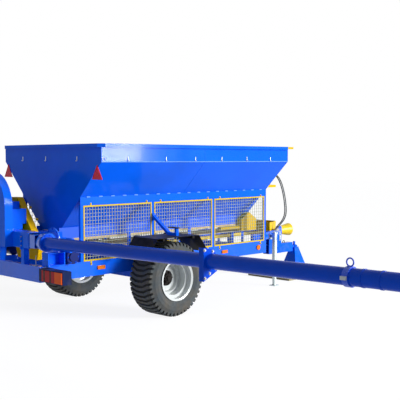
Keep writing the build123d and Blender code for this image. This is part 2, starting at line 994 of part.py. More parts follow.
def boom_plane(sign, distance):
    """The plane square to a boom, its X pointing rearward to forward."""
    rise = math.atan(boom_rise_share)
    return Plane(
        origin=(boom_x, sign * distance, boom_height(distance)),
        x_dir=(1, 0, 0),
        z_dir=(0, sign * math.cos(rise), math.sin(rise)),
    )


boom_stretch = math.hypot(1, boom_rise_share)
plate_shape = [(x * boom_plate_width, z * boom_plate_height) for x, z in boom_plate_shares]

# Booms: an inner tube with its hinge arm and plate, then an outer tube and a clamp
for side, sign in sides:
    with BuildPart() as boom_inner:
        inner_end = boom_flange_at - boom_flange_gap / 2
        with BuildSketch(boom_plane(sign, boom_root)):
            Circle(boom_root_flange_radius)
        extrude(amount=boom_root_flange_thickness)
        with BuildSketch(boom_plane(sign, boom_root)):
            Circle(boom_radius)
        extrude(amount=(inner_end - boom_root) * boom_stretch)
        with BuildSketch(boom_plane(sign, inner_end)):
            with BuildLine():
                Polyline([(x, -sign * z) for x, z in plate_shape], close=True)
            make_face()
        extrude(amount=-boom_flange_thickness)
        with BuildSketch(hinge_plane(sign, -hinge_barrel_height / 2)):
            Circle(hinge_barrel_radius)
        extrude(amount=hinge_barrel_height)
        with BuildSketch(hinge_plane(sign, -hinge_arm_height / 2)):
            with Locations(((boom_x - hinge_x) / 2, 0)):
                Rectangle(hinge_x - boom_x, 2 * hinge_barrel_radius)
        extrude(amount=hinge_arm_height)
        with BuildSketch(boom_plane(sign, boom_root)):
            Circle(boom_radius - boom_wall)
        extrude(amount=(inner_end - boom_root) * boom_stretch, mode=Mode.SUBTRACT)
        with BuildSketch(hinge_plane(sign, -hinge_barrel_height)):
            Circle(hinge_pin_radius + bearing_play)
        extrude(amount=2 * hinge_barrel_height, mode=Mode.SUBTRACT)
    write(boom_inner, f"boom_inner_{side}")

    outer_start = boom_flange_at + boom_flange_gap / 2
    with BuildPart() as boom_outer:
        with BuildSketch(boom_plane(sign, outer_start)):
            with BuildLine():
                Polyline([(x, -sign * z) for x, z in plate_shape], close=True)
            make_face()
        extrude(amount=boom_flange_thickness)
        with BuildSketch(boom_plane(sign, outer_start)):
            Circle(boom_outer_radius)
        extrude(amount=(boom_tip - outer_start) * boom_stretch)
        for share in collar_shares:
            with BuildSketch(boom_plane(sign, share * boom_tip)):
                Circle(boom_outer_radius + collar_thickness)
            extrude(amount=collar_width)
        with BuildSketch(boom_plane(sign, outer_start)):
            Circle(boom_outer_radius - boom_wall)
        extrude(
            amount=(boom_tip - outer_start) * boom_stretch - 2 * boom_wall,
            mode=Mode.SUBTRACT,
        )
    write(boom_outer, f"boom_outer_{side}")

    with BuildPart() as boom_clamp:
        with BuildSketch(boom_plane(sign, clamp_at - clamp_width / 2)):
            Circle(boom_outer_radius + clamp_thickness)
            with Locations((-boom_outer_radius - clamp_lug / 2, 0)):
                Rectangle(clamp_lug, clamp_lug)
            Circle(boom_outer_radius + seat_gap, mode=Mode.SUBTRACT)
        extrude(amount=clamp_width)
        eye_middle = boom_height(clamp_at) + boom_outer_radius + clamp_thickness + clamp_eye_radius
        with BuildSketch(Plane.XZ.offset(-sign * clamp_at)):
            with Locations((boom_x, eye_middle + clamp_eye_radius)):
                Circle(clamp_eye_bar)
        revolve(axis=Axis((boom_x, sign * clamp_at, eye_middle), (1, 0, 0)))
    write(boom_clamp, f"boom_clamp_{side}")

# Pedestals: an open-sided box on the rail, a leaning clevis with its pin, and a motor
ring_y = boom_root - moving_gap
with BuildPart() as boom_pedestals:
    for side, sign in sides:
        pedestal_x = (pedestal_rear_x, pedestal_rear_x + pedestal_length)
        pedestal_y = (sign * pedestal_inner, sign * pedestal_outer)
        block(pedestal_x, pedestal_y, (rail_top, pedestal_top))
        block(
            (pedestal_x[0] + pedestal_plate, pedestal_x[1] - pedestal_plate),
            (sign * (pedestal_inner + pedestal_plate), sign * pedestal_outer),
            (rail_top + pedestal_plate, pedestal_top - pedestal_plate),
            mode=Mode.SUBTRACT,
        )
        with BuildSketch(Plane.YZ.offset(pedestal_x[0])):
            with Locations((sign * (pedestal_inner + pedestal_outer) / 2, rail_top)):
                with Locations((0, (pedestal_top - rail_top) / 2)):
                    with GridLocations(
                        (pedestal_outer - pedestal_inner) / 2, pedestal_plate, 2, 1
                    ):
                        Circle(pedestal_hole_radius)
        extrude(amount=pedestal_plate, mode=Mode.SUBTRACT)
        for lug in (-1, 1):
            with BuildSketch(hinge_plane(sign, lug * (hinge_barrel_height / 2 + moving_gap))):
                Circle(hinge_barrel_radius)
                with Locations((hinge_barrel_radius / 2, -sign * hinge_barrel_radius)):
                    Rectangle(
                        3 * hinge_barrel_radius,
                        2 * hinge_barrel_radius,
                        align=(Align.CENTER, Align.CENTER),
                    )
            extrude(amount=lug * hinge_plate)
        with BuildSketch(hinge_plane(sign, -hinge_barrel_height / 2 - moving_gap)):
            Circle(hinge_pin_radius)
        extrude(amount=hinge_barrel_height + 2 * moving_gap)
        web_height = hinge_barrel_height + 2 * moving_gap + 2 * hinge_plate
        with BuildSketch(hinge_plane(sign, -web_height / 2)):
            with Locations((2 * hinge_barrel_radius, -sign * 2 * hinge_barrel_radius)):
                Rectangle(hinge_barrel_radius, 4 * hinge_barrel_radius)
        extrude(amount=web_height)
        block(
            (hinge_x + hinge_barrel_radius, hinge_x + 2 * hinge_barrel_radius),
            (sign * (ring_y - pedestal_plate), sign * (hinge_out - hinge_barrel_radius)),
            (pedestal_top, hinge_height - hinge_barrel_height / 2),
        )
write(boom_pedestals, "boom_pedestals")

with BuildPart() as boom_motors:
    for side, sign in sides:
        with BuildSketch(across(sign, pedestal_outer - motor_length)):
            with Locations((motor_x, rail_top + motor_radius + seat_gap)):
                Circle(motor_radius)
        extrude(amount=-sign * motor_length)
        with BuildSketch(across(sign, pedestal_outer)):
            with Locations((motor_x, rail_top + motor_radius + seat_gap)):
                Circle(motor_face_radius)
        extrude(amount=-sign * motor_face_depth)
write(boom_motors, "boom_motors")

# Elbows: a bend from the metering flange round to the boom, joined by the air duct
bend_x = boom_x + elbow_bend_radius
bend_y = ring_y - elbow_bend_radius
duct_front_x = duct_rear_x + duct_depth
with BuildPart() as elbows:
    for side, sign in sides:
        for inset, mode in ((0, Mode.ADD), (elbow_wall, Mode.SUBTRACT)):
            with BuildSketch(across(sign, ring_y)):
                with Locations((boom_x, boom_root_height)):
                    Circle(elbow_radius - inset)
            revolve(
                axis=Axis((bend_x, sign * ring_y, 0), (0, 0, sign)),
                revolution_arc=90,
                mode=mode,
            )
            with BuildSketch(Plane.YZ.offset(bend_x)):
                with Locations((sign * bend_y, boom_root_height)):
                    Circle(elbow_radius - inset)
            extrude(amount=elbow_lead, mode=mode)
            block(
                (
                    duct_rear_x + elbow_box_inset + inset,
                    duct_front_x - elbow_box_inset - inset,
                ),
                (sign * duct_half_length, sign * (bend_y + elbow_box_inset)),
                (
                    duct_bottom + elbow_box_inset + inset,
                    duct_top - 2 * elbow_box_inset - inset,
                ),
                mode=mode,
            )
            if mode == Mode.ADD:
                block(
                    (boom_x - elbow_wall, boom_x - elbow_wall + elbow_foot_length),
                    (sign * pedestal_inner, sign * ring_y),
                    (pedestal_top, pedestal_top + elbow_flange_thickness),
                )
                block(
                    (boom_x + elbow_wall, boom_x + elbow_foot_length - 4 * elbow_wall),
                    (sign * (pedestal_inner + 2 * elbow_wall), sign * (ring_y - elbow_wall)),
                    (pedestal_top, boom_root_height - elbow_radius / 2),
                )
        with BuildSketch(Plane.YZ.offset(bend_x + elbow_lead)):
            with Locations((sign * bend_y, elbow_flange_height)):
                Circle(elbow_flange_radius)
        extrude(amount=elbow_flange_thickness)
        with BuildSketch(across(sign, ring_y - elbow_ring_thickness)):
            with Locations((boom_x, boom_root_height)):
                Circle(elbow_ring_radius)
                Circle(boom_radius - boom_wall, mode=Mode.SUBTRACT)
        extrude(amount=-sign * elbow_ring_thickness)
write(elbows, "elbows")

fan_radii = [share * fan_outer_radius for share in fan_radius_shares]
# Air duct: a level box across the tail with a neck up to the fan, on two legs
spout_inner_y = fan_y - fan_radii[0]
spout_outer_y = spout_inner_y + spout_width
with BuildPart() as air_duct:
    block(
        (duct_rear_x, duct_front_x),
        (-duct_half_length, duct_half_length),
        (duct_bottom, duct_top),
    )
    block(
        (duct_rear_x - fan_depth, duct_rear_x),
        (spout_inner_y, spout_outer_y),
        (duct_bottom, spout_bottom),
    )
    for place in (-duct_flange_at, duct_flange_at):
        flange_y = (place - duct_flange_thickness / 2, place + duct_flange_thickness / 2)
        block(
            (duct_rear_x, duct_front_x + duct_flange),
            flange_y,
            (duct_bottom - duct_flange, duct_top),
        )
        block(
            (duct_rear_x - duct_flange, duct_rear_x),
            flange_y,
            (duct_bottom - duct_flange, duct_top - 2 * duct_flange),
        )
    block(
        (duct_rear_x + duct_wall, duct_front_x - duct_wall),
        (-duct_half_length, duct_half_length),
        (duct_bottom + duct_wall, duct_top - duct_wall),
        mode=Mode.SUBTRACT,
    )
    block(
        (duct_rear_x - fan_depth + duct_wall, duct_rear_x + duct_wall),
        (spout_inner_y + duct_wall, spout_outer_y - duct_wall),
        (duct_bottom + duct_wall, spout_bottom),
        mode=Mode.SUBTRACT,
    )
    for place in (-duct_leg_at, duct_leg_at):
        block(
            (tail_beam_rear_x, tail_beam_rear_x + tail_beam_depth),
            (place - duct_leg_width / 2, place + duct_leg_width / 2),
            (rail_top, duct_bottom),
        )
write(air_duct, "air_duct")

# Fan: a rear plate with the inlet, and a spiral drum whose arcs shrink away from the spout
arc_top = fan_height + fan_radii[0]
arc_left = fan_y + fan_radii[1]
left_height = arc_top - fan_radii[1]
arc_bottom = left_height - fan_radii[2]
bottom_y = arc_left - fan_radii[2]
half_turn = math.sin(math.pi / 4)
spirals = []
for inset in (0, fan_sheet):
    with BuildSketch() as spiral:
        with BuildLine():
            Line(
                (spout_inner_y + inset, spout_bottom),
                (spout_inner_y + inset, fan_height),
            )
            ThreePointArc(
                (spout_inner_y + inset, fan_height),
                (
                    fan_y - (fan_radii[0] - inset) * half_turn,
                    fan_height + (fan_radii[0] - inset) * half_turn,
                ),
                (fan_y, arc_top - inset),
            )
            ThreePointArc(
                (fan_y, arc_top - inset),
                (
                    fan_y + (fan_radii[1] - inset) * half_turn,
                    left_height + (fan_radii[1] - inset) * half_turn,
                ),
                (arc_left - inset, left_height),
            )
            ThreePointArc(
                (arc_left - inset, left_height),
                (
                    bottom_y + (fan_radii[2] - inset) * half_turn,
                    left_height - (fan_radii[2] - inset) * half_turn,
                ),
                (bottom_y, arc_bottom + inset),
            )
            Line((bottom_y, arc_bottom + inset), (spout_outer_y + inset, arc_bottom + inset))
            Line(
                (spout_outer_y + inset, arc_bottom + inset),
                (spout_outer_y + inset, spout_bottom),
            )
            Line(
                (spout_outer_y + inset, spout_bottom),
                (spout_inner_y + inset, spout_bottom),
            )
        make_face()
    spirals.append(spiral.sketch)

with BuildPart() as fan_plate:
    with BuildSketch(Plane.YZ.offset(fan_rear_x)):
        add(spirals[0])
    extrude(amount=fan_sheet)
    with BuildSketch(Plane.YZ.offset(fan_rear_x - fan_inlet_depth)):
        with Locations((fan_y, fan_height)):
            Circle(fan_inlet_radius + fan_inlet_ring)
    extrude(amount=fan_inlet_depth)
    rod_along_x(
        (fan_rear_x - fan_inlet_depth, fan_rear_x + fan_sheet),
        fan_y,
        fan_height,
        fan_inlet_radius,
        mode=Mode.SUBTRACT,
    )
write(fan_plate, "fan_plate")

with BuildPart() as fan_housing:
    with BuildSketch(Plane.YZ.offset(fan_rear_x + fan_sheet)):
        add(spirals[0])
    extrude(amount=fan_depth - fan_sheet)
    with BuildSketch(Plane.YZ.offset(fan_rear_x + fan_sheet)):
        add(spirals[1])
    extrude(amount=fan_depth - 2 * fan_sheet, mode=Mode.SUBTRACT)
    rod_along_x(
        (duct_rear_x - fan_sheet, duct_rear_x),
        fan_y,
        fan_height,
        fan_shaft_radius + bearing_play,
        mode=Mode.SUBTRACT,
    )
write(fan_housing, "fan_housing")

# Fan impeller: a back plate, a hub and straight blades on the shaft
impeller_front_x = duct_rear_x - fan_sheet - moving_gap
with BuildPart() as fan_impeller:
    rod_along_x(
        (impeller_front_x - impeller_sheet, impeller_front_x), fan_y, fan_height, impeller_radius
    )
    rod_along_x(
        (impeller_front_x - impeller_depth, impeller_front_x),
        fan_y,
        fan_height,
        impeller_hub_radius,
    )
    blade_length = impeller_radius - impeller_hub_radius / 2
    with BuildSketch(Plane.YZ.offset(impeller_front_x - impeller_depth)):
        with Locations((fan_y, fan_height)):
            with PolarLocations(impeller_hub_radius / 2 + blade_length / 2, impeller_blades):
                Rectangle(blade_length, impeller_blade_thickness)
    extrude(amount=impeller_depth)
    rod_along_x(
        (impeller_front_x - impeller_depth, belt_cover_rear_x - moving_gap),
        fan_y,
        fan_height,
        fan_shaft_radius,
    )
write(fan_impeller, "fan_impeller")

# Bearing box between the fan and its belt cover
with BuildPart() as bearing_box:
    block(
        (duct_rear_x, belt_cover_rear_x),
        (bearing_box_inner, bearing_box_outer),
        (duct_top, fan_height + 2 * fan_shaft_radius),
    )
    block(
        (duct_rear_x, belt_cover_rear_x),
        (bearing_box_inner, fan_y - 2 * impeller_hub_radius),
        (bearing_box_top, fan_height + 2 * fan_shaft_radius),
        mode=Mode.SUBTRACT,
    )
    block(
        (duct_rear_x, belt_cover_rear_x),
        (fan_y + 2 * impeller_hub_radius, bearing_box_outer),
        (bearing_box_top, fan_height + 2 * fan_shaft_radius),
        mode=Mode.SUBTRACT,
    )
    block(
        (bend_x, belt_cover_rear_x),
        (bearing_box_inner, bearing_box_outer),
        (duct_top, bearing_box_step),
        mode=Mode.SUBTRACT,
    )
    cavity_y = (bearing_box_inner + bearing_box_wall, bearing_box_outer - bearing_box_wall)
    cavity_top = bearing_box_top - bearing_box_wall
    for cavity_end, cavity_bottom in (
        (bend_x, duct_top),
        (belt_cover_rear_x, bearing_box_step),
    ):
        block(
            (duct_rear_x + bearing_box_wall, cavity_end - bearing_box_wall),
            cavity_y,
            (cavity_bottom + bearing_box_wall, cavity_top),
            mode=Mode.SUBTRACT,
        )
    rod_along_x(
        (duct_rear_x, belt_cover_rear_x),
        fan_y,
        fan_height,
        fan_shaft_radius + bearing_play,
        mode=Mode.SUBTRACT,
    )
write(bearing_box, "bearing_box")

# Yellow cover over the fan's belts: a folded box with a sloping side
belt_cover_points = [
    (belt_cover_inner + y * belt_cover_width, belt_cover_bottom + z * belt_cover_height)
    for y, z in belt_cover_shares
]
with BuildPart() as belt_cover:
    with BuildSketch(Plane.YZ.offset(belt_cover_rear_x)):
        with BuildLine():
            Polyline(belt_cover_points, close=True)
        make_face()
    extrude(amount=belt_cover_depth)
    with BuildSketch(Plane.YZ.offset(belt_cover_rear_x + belt_cover_wall)):
        with BuildLine():
            Polyline(belt_cover_points, close=True)
        make_face()
        offset(amount=-belt_cover_wall, mode=Mode.REPLACE)
    extrude(amount=belt_cover_depth, mode=Mode.SUBTRACT)
write(belt_cover, "belt_cover")

# Discharge chute: a four-sided funnel behind the conveyor
with BuildPart() as discharge_chute:
    block(
        (chute_rear_x, hopper_rear_x),
        (-skirt_outer - chute_wall, skirt_outer + chute_wall),
        (chute_bottom, hopper_floor),
    )
    block(
        (chute_rear_x + chute_wall, hopper_rear_x),
        (-skirt_outer, skirt_outer),
        (chute_bottom, hopper_floor - chute_wall),
        mode=Mode.SUBTRACT,
    )
    block(
        (skirt_rear_x, hopper_rear_x),
        (-skirt_outer, skirt_outer),
        (chute_bottom, hopper_floor),
        mode=Mode.SUBTRACT,
    )
write(discharge_chute, "discharge_chute")

# Rear lamps: an open-backed box on each end of the tail beam, with its lens
with BuildPart() as lamp_boxes:
    for side, sign in sides:
        block(
            (tail_beam_rear_x - lens_thickness, tail_beam_rear_x + lamp_depth),
            (sign * lamp_inner, sign * lamp_outer),
            (lamp_bottom, lamp_top),
        )
        block(
            (tail_beam_rear_x - lens_thickness + lamp_wall, tail_beam_rear_x + lamp_depth),
            (sign * (lamp_inner + lamp_wall), sign * (lamp_outer - lamp_wall)),
            (lamp_bottom + lamp_wall, lamp_top - lamp_wall),
            mode=Mode.SUBTRACT,
        )
write(lamp_boxes, "lamp_boxes")

with BuildPart() as lamp_lenses:
    for side, sign in sides:
        block(
            (tail_beam_rear_x - 2 * lens_thickness, tail_beam_rear_x - lens_thickness),
            (sign * lens_inner, sign * lens_outer),
            (lens_bottom, lens_top),
        )
write(lamp_lenses, "lamp_lenses")

with BuildPart() as reflectors:
    for side, sign in sides:
        with BuildSketch(Plane.YZ.offset(hopper_rear_x)):
            with BuildLine():
                Polyline(
                    (sign * (reflector_middle - reflector_width / 2), reflector_bottom),
                    (sign * (reflector_middle + reflector_width / 2), reflector_bottom),
                    (sign * reflector_middle, reflector_bottom + reflector_height),
                    close=True,
                )
            make_face()
        extrude(amount=-reflector_thickness)
write(reflectors, "rear_reflectors")

with BuildPart() as side_markers:
    for side, sign in sides:
        for share in marker_shares:
            place = hopper_rear_x + share * hopper_length
            block(
                (place - marker_length / 2, place + marker_length / 2),
                (sign * rail_outer, sign * (rail_outer + marker_thickness)),
                (marker_middle - marker_height / 2, marker_middle + marker_height / 2),
            )
        with BuildSketch(across(sign, rail_outer)):
            with Locations((hopper_front_x - round_marker_inset, marker_middle)):
                Circle(round_marker_radius)
        extrude(amount=-sign * marker_thickness)
write(side_markers, "side_markers")

# Drawbar: two converging arms, an upright neck and a low box beam
arm_bend_x = rail_front_x - arm_width
with BuildPart() as drawbar_feet:
    for side, sign in sides:
        block(
            (arm_rear_x, arm_bend_x),
            (sign * (arm_rear_y - arm_width / 2), sign * (arm_rear_y + arm_width / 2)),
            (rail_top, rail_top + arm_height),
        )
write(drawbar_feet, "drawbar_feet")

with BuildPart() as drawbar:
    for side, sign in sides:
        with BuildSketch(Plane.XY.offset(rail_top)):
            with BuildLine():
                Polyline(
                    (arm_bend_x, sign * (arm_rear_y - arm_width / 2)),
                    (arm_front_x, sign * (arm_front_y - arm_width / 2)),
                    (arm_front_x, sign * (arm_front_y + arm_width / 2)),
                    (rail_front_x, sign * (arm_rear_y + arm_width / 2)),
                    (arm_bend_x, sign * (arm_rear_y + arm_width / 2)),
                    close=True,
                )
            make_face()
        extrude(amount=arm_height)
        block(
            (neck_rear_x, neck_rear_x + neck_length),
            (sign * neck_inner, sign * (neck_inner + neck_plate)),
            (beam_bottom, neck_top),
        )
    block((neck_rear_x, beam_front_x), (-neck_inner, neck_inner), (beam_bottom, beam_top))
    block(
        (neck_rear_x, beam_front_x - beam_wall),
        (-neck_inner + beam_wall, neck_inner - beam_wall),
        (beam_bottom + beam_wall, beam_top - beam_wall),
        mode=Mode.SUBTRACT,
    )
write(drawbar, "drawbar")

eye_height = (beam_bottom + beam_top) / 2
with BuildPart() as hitch_eye:
    with BuildSketch(Plane.XY.offset(eye_height - eye_thickness / 2)):
        with Locations((eye_x, 0)):
            Circle(eye_radius)
        with Locations(((beam_front_x + eye_x) / 2, 0)):
            Rectangle(eye_x - beam_front_x, eye_shank_width)
        with Locations((eye_x, 0)):
            Circle(eye_bore_radius, mode=Mode.SUBTRACT)
    extrude(amount=eye_thickness)
write(hitch_eye, "hitch_eye")

# Power take-off: a bell-mouthed shield and the stub shaft inside it
with BuildPart() as pto_shield:
    with BuildSketch(Plane.XZ):
        with BuildLine():
            Polyline(
                (shield_rear_x, shaft_height + stub_radius + moving_gap),
                (shield_rear_x, shaft_height + shield_rear_radius),
                (shield_rear_x + shield_length, shaft_height + shield_front_radius),
                (shield_rear_x + shield_length, shaft_height + shield_front_radius - shield_wall),
                (shield_rear_x + shield_plate, shaft_height + shield_rear_radius - shield_wall),
                (shield_rear_x + shield_plate, shaft_height + stub_radius + moving_gap),
                close=True,
            )
        make_face()
    revolve(axis=Axis((shield_rear_x, 0, shaft_height), (1, 0, 0)))
    block(
        (neck_rear_x + neck_length, shield_rear_x),
        (-neck_inner - neck_plate, neck_inner + neck_plate),
        (shaft_height - shield_rear_radius, shaft_height + shield_rear_radius),
    )
    rod_along_x(
        (neck_rear_x + neck_length, shield_rear_x),
        0,
        shaft_height,
        shaft_guard_radius + seat_gap,
        mode=Mode.SUBTRACT,
    )
write(pto_shield, "pto_shield")

with BuildPart() as pto_stub:
    rod_along_x(
        (shield_rear_x, shield_rear_x + shield_length - stub_from_shield),
        0,
        shaft_height,
        stub_radius,
    )
write(pto_stub, "pto_stub")


def arm_middle(x):
    """Distance from the middle to a drawbar arm's own middle at a place along it."""
    share = (x - rail_front_x) / (arm_front_x - rail_front_x)
    return arm_rear_y + (arm_front_y - arm_rear_y) * share


# Yellow tray: an open-topped trough that lies on the drawbar's arms
with BuildPart() as tool_tray:
    for inset, mode in ((0, Mode.ADD), (tray_wall, Mode.SUBTRACT)):
        with BuildSketch(Plane.XY.offset(rail_top + arm_height + inset)):
            with BuildLine():
                Polyline(
                    (tray_rear_x + inset, -arm_middle(tray_rear_x) + inset),
                    (tray_front_x - inset, -arm_middle(tray_front_x) + inset),
                    (tray_front_x - inset, arm_middle(tray_front_x) - inset),
                    (tray_rear_x + inset, arm_middle(tray_rear_x) - inset),
                    close=True,
                )
            make_face()
        extrude(amount=tray_height - inset, mode=mode)
write(tool_tray, "tool_tray")

# Parking jack: outer tube on a bracket, and the leg that screws up inside it
with BuildPart() as jack_tube_part:
    tube_x = (jack_x - jack_tube / 2, jack_x + jack_tube / 2)
    tube_y = (jack_y - jack_tube / 2, jack_y + jack_tube / 2)
    block(tube_x, tube_y, (jack_tube_bottom, jack_tube_top))
    block(
        (jack_x - jack_tube / 2 + jack_tube_wall, jack_x + jack_tube / 2 - jack_tube_wall),
        (jack_y - jack_tube / 2 + jack_tube_wall, jack_y + jack_tube / 2 - jack_tube_wall),
        (jack_tube_bottom, jack_tube_top),
        mode=Mode.SUBTRACT,
    )
    block(
        (jack_x - jack_head_side / 2, jack_x + jack_head_side / 2),
        (jack_y - jack_head_side / 2, jack_y + jack_head_side / 2),
        (jack_tube_top, jack_tube_top + jack_head_height),
    )
    block(
        tube_x,
        (jack_y + jack_tube / 2, -arm_middle(jack_x) - arm_width),
        (rail_top + jack_bracket_height / 4, rail_top + jack_bracket_height),
    )
    block(
        tube_x,
        (-arm_middle(jack_x) - arm_width, -arm_middle(jack_x) + arm_width / 4),
        (rail_top - jack_bracket_height / 4, rail_top),
    )
    block(
        tube_x,
        (-arm_middle(jack_x) - arm_width, -arm_middle(jack_x) - arm_width + jack_tube_wall),
        (rail_top - jack_bracket_height / 4, rail_top + jack_bracket_height),
    )
write(jack_tube_part, "jack_tube")

with BuildPart() as jack_leg:
    block(
        (jack_x - jack_leg_side / 2, jack_x + jack_leg_side / 2),
        (jack_y - jack_leg_side / 2, jack_y + jack_leg_side / 2),
        (jack_foot_thickness, jack_leg_top - jack_travel),
    )
    block(
        (jack_x - jack_foot_side / 2, jack_x + jack_foot_side / 2),
        (jack_y - jack_foot_side / 2, jack_y + jack_foot_side / 2),
        (0, jack_foot_thickness),
    )
write(jack_leg, "jack_leg")

# Hitch stand: a hollow pyramid with a drilled top, on a board
stand_top = eye_height - eye_thickness / 2
with BuildPart() as hitch_stand:
    for inset, mode in ((0, Mode.ADD), (stand_wall, Mode.SUBTRACT)):
        with BuildSketch(Plane.XY.offset(stand_base_thickness)):
            with Locations((eye_x, 0)):
                Rectangle(2 * (stand_foot_half - inset), 2 * (stand_foot_half - inset))
        with BuildSketch(Plane.XY.offset(stand_top - stand_plate)):
            with Locations((eye_x, 0)):
                Rectangle(2 * (stand_top_half - inset), 2 * (stand_top_half - inset))
        loft(mode=mode)
    with BuildSketch(Plane.XY.offset(stand_top - stand_plate)):
        with Locations((eye_x, 0)):
            Rectangle(2 * stand_top_half + stand_plate, 2 * stand_top_half + stand_plate)
            Circle(stand_hole_radius, mode=Mode.SUBTRACT)
    extrude(amount=stand_plate)
write(hitch_stand, "hitch_stand")

stand_base_length = drawbar_reach - stand_base_reach
with BuildPart() as stand_board:
    with BuildSketch(Plane.XY):
        with Locations((stand_base_rear_x + stand_base_length / 2, 0)):
            Rectangle(stand_base_length, 2 * stand_base_half_width)
    extrude(amount=stand_base_thickness)
write(stand_board, "stand_board")

# Hoses: two round tubes side by side, from the hopper's bracket to the drawbar
hoses = {
    name: [Vector(hopper_front_x + x, y - shift, z) for x, y, z in hose_route]
    for name, shift in (("inner", 0), ("outer", hose_spread))
}
for name, points in hoses.items():
    radii = []
    for before, corner, after in zip(points, points[1:], points[2:]):
        turn = math.radians((corner - before).get_angle(after - corner))
        shorter_run = min((corner - before).length, (after - corner).length)
        radii.append(hose_run_share * shorter_run / math.tan(turn / 2))
    with BuildPart() as hose:
        with BuildLine():
            path = FilletPolyline(*points, radius=radii)
        with BuildSketch(Plane(origin=points[0], z_dir=points[1] - points[0])):
            Circle(hose_radius)
        sweep(path=path)
    print("hose", name, "length", round(path.length), "radii", [round(r) for r in radii])
    print("volume", round(hose.part.volume), round(math.pi * hose_radius**2 * path.length))
    write(hose, f"hose_{name}")

# Brackets on the hopper: the hose arm with its collars, and the crank bracket
with BuildPart() as hose_bracket:
    block(
        (hopper_front_x, hopper_front_x + hose_bracket_reach),
        (hose_bracket_y - hose_bracket_height, hose_bracket_y + hose_bracket_height),
        (
            hose_bracket_middle - hose_bracket_height / 2,
            hose_bracket_middle + hose_bracket_height / 2,
        ),
    )
    with BuildSketch(Plane.XY.offset(hose_bracket_middle + hose_bracket_height / 2)):
        with Locations([(hoses[name][0].X, hoses[name][0].Y) for name in hoses]):
            Circle(hose_collar_radius)
    extrude(amount=hoses["inner"][0].Z - hose_bracket_middle - hose_bracket_height / 2)
write(hose_bracket, "hose_bracket")

# Coupling block on the right drawbar arm, with a collar for each hose's lower end
with BuildPart() as hose_coupling:
    block(
        (coupling_rear_x, coupling_rear_x + coupling_length),
        (-arm_middle(coupling_rear_x) - tray_wall, -coupling_outer),
        (rail_top + arm_height, rail_top + arm_height + coupling_height),
    )
    for points in hoses.values():
        end = Plane(origin=points[-1], z_dir=points[-1] - points[-2])
        with BuildSketch(end):
            Circle(hose_collar_radius)
        extrude(amount=coupling_collar_length)
write(hose_coupling, "hose_coupling")

with BuildPart() as crank_bracket:
    rim_front_x = hopper_front_x + rim_reach
    block(
        (rim_front_x, rim_front_x + crank_bracket_reach),
        (crank_bracket_y - crank_bracket_width / 2, crank_bracket_y + crank_bracket_width / 2),
        (hopper_top - crank_bracket_height, hopper_top),
    )
write(crank_bracket, "crank_bracket")

# Boom rests: an arm down from the second post, then up to a level black pad
rest_x = post_places[1]


def folded_boom(x):
    """Distance out and height of a folded boom's middle at a place along the machine."""
    lean = math.radians(boom_lean)
    rise = math.atan(boom_rise_share)
    turn = Vector(-math.sin(lean), 0, math.cos(lean))
    start = Vector(boom_x - hinge_x, boom_root - hinge_out, boom_root_height - hinge_height)
    run = Vector(0, math.cos(rise), math.sin(rise))
    start = Vector(start.X, -start.Y, start.Z)
    run = Vector(run.X, -run.Y, run.Z)
    start = turn * turn.dot(start) + turn.cross(start)
    run = turn * turn.dot(run) + turn.cross(run)
    reach = (x - hinge_x - start.X) / run.X
    return hinge_out - (start.Y + run.Y * reach), hinge_height + start.Z + run.Z * reach


rest_y, rest_z = folded_boom(rest_x)
pad_top = rest_z - boom_radius - rest_clearance
rest_low = mudguard_top + rest_arm / 2
with BuildPart() as boom_rests:
    for side, sign in sides:
        with BuildSketch(Plane.YZ.offset(rest_x - rest_width / 2)):
            with BuildLine():
                Polyline(
                    (sign * (rail_outer + rest_mount_thickness / 2), rest_mount_top - rest_arm),
                    (sign * (rest_y - rest_pad_length / 2), rest_low),
                    (sign * (rest_y + rest_pad_length / 4), rest_low),
                    (sign * (rest_y + rest_pad_length / 4), pad_top - rest_pad_thickness),
                )
            trace(line_width=rest_arm)
            with Locations(
                (sign * (rail_outer + rest_mount_thickness / 2), rest_mount_top - rest_mount_height / 2)
            ):
                Rectangle(rest_mount_thickness, rest_mount_height)
            with Locations((sign * rail_outer, rest_mount_top)):
                Rectangle(
                    2 * rest_arm,
                    4 * rest_mount_height,
                    align=(Align.MAX if sign > 0 else Align.MIN, Align.CENTER),
                    mode=Mode.SUBTRACT,
                )
        extrude(amount=rest_width)
write(boom_rests, "boom_rests")

with BuildPart() as rest_pads:
    for side, sign in sides:
        block(
            (rest_x - rest_width / 2, rest_x + rest_width / 2),
            (sign * (rest_y - rest_pad_length / 2), sign * (rest_y + rest_pad_length / 2)),
            (pad_top - rest_pad_thickness, pad_top),
        )
write(rest_pads, "rest_pads")
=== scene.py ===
"""Dresses a towed lime spreader: camera, light, paint and rubber finishes, and small fittings."""

import json
import math

import bpy
import numpy as np
from bpy.props import FloatProperty, FloatVectorProperty, IntProperty, PointerProperty
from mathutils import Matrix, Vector


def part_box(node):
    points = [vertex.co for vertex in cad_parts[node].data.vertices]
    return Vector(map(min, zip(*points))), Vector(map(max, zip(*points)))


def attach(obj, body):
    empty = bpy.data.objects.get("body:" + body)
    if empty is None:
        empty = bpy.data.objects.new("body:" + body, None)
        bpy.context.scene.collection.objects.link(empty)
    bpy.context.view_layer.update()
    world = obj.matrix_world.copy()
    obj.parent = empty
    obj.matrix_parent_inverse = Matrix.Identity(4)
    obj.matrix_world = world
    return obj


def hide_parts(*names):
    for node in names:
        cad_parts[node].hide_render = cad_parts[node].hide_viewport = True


bl_info = {
    "name": "Lime spreader",
    "version": (1, 0, 0),
    "blender": (4, 5, 0),
    "location": "View3D > Sidebar > Spreader",
    "description": "Finishes and small fittings for a towed lime spreader",
    "category": "Object",
}

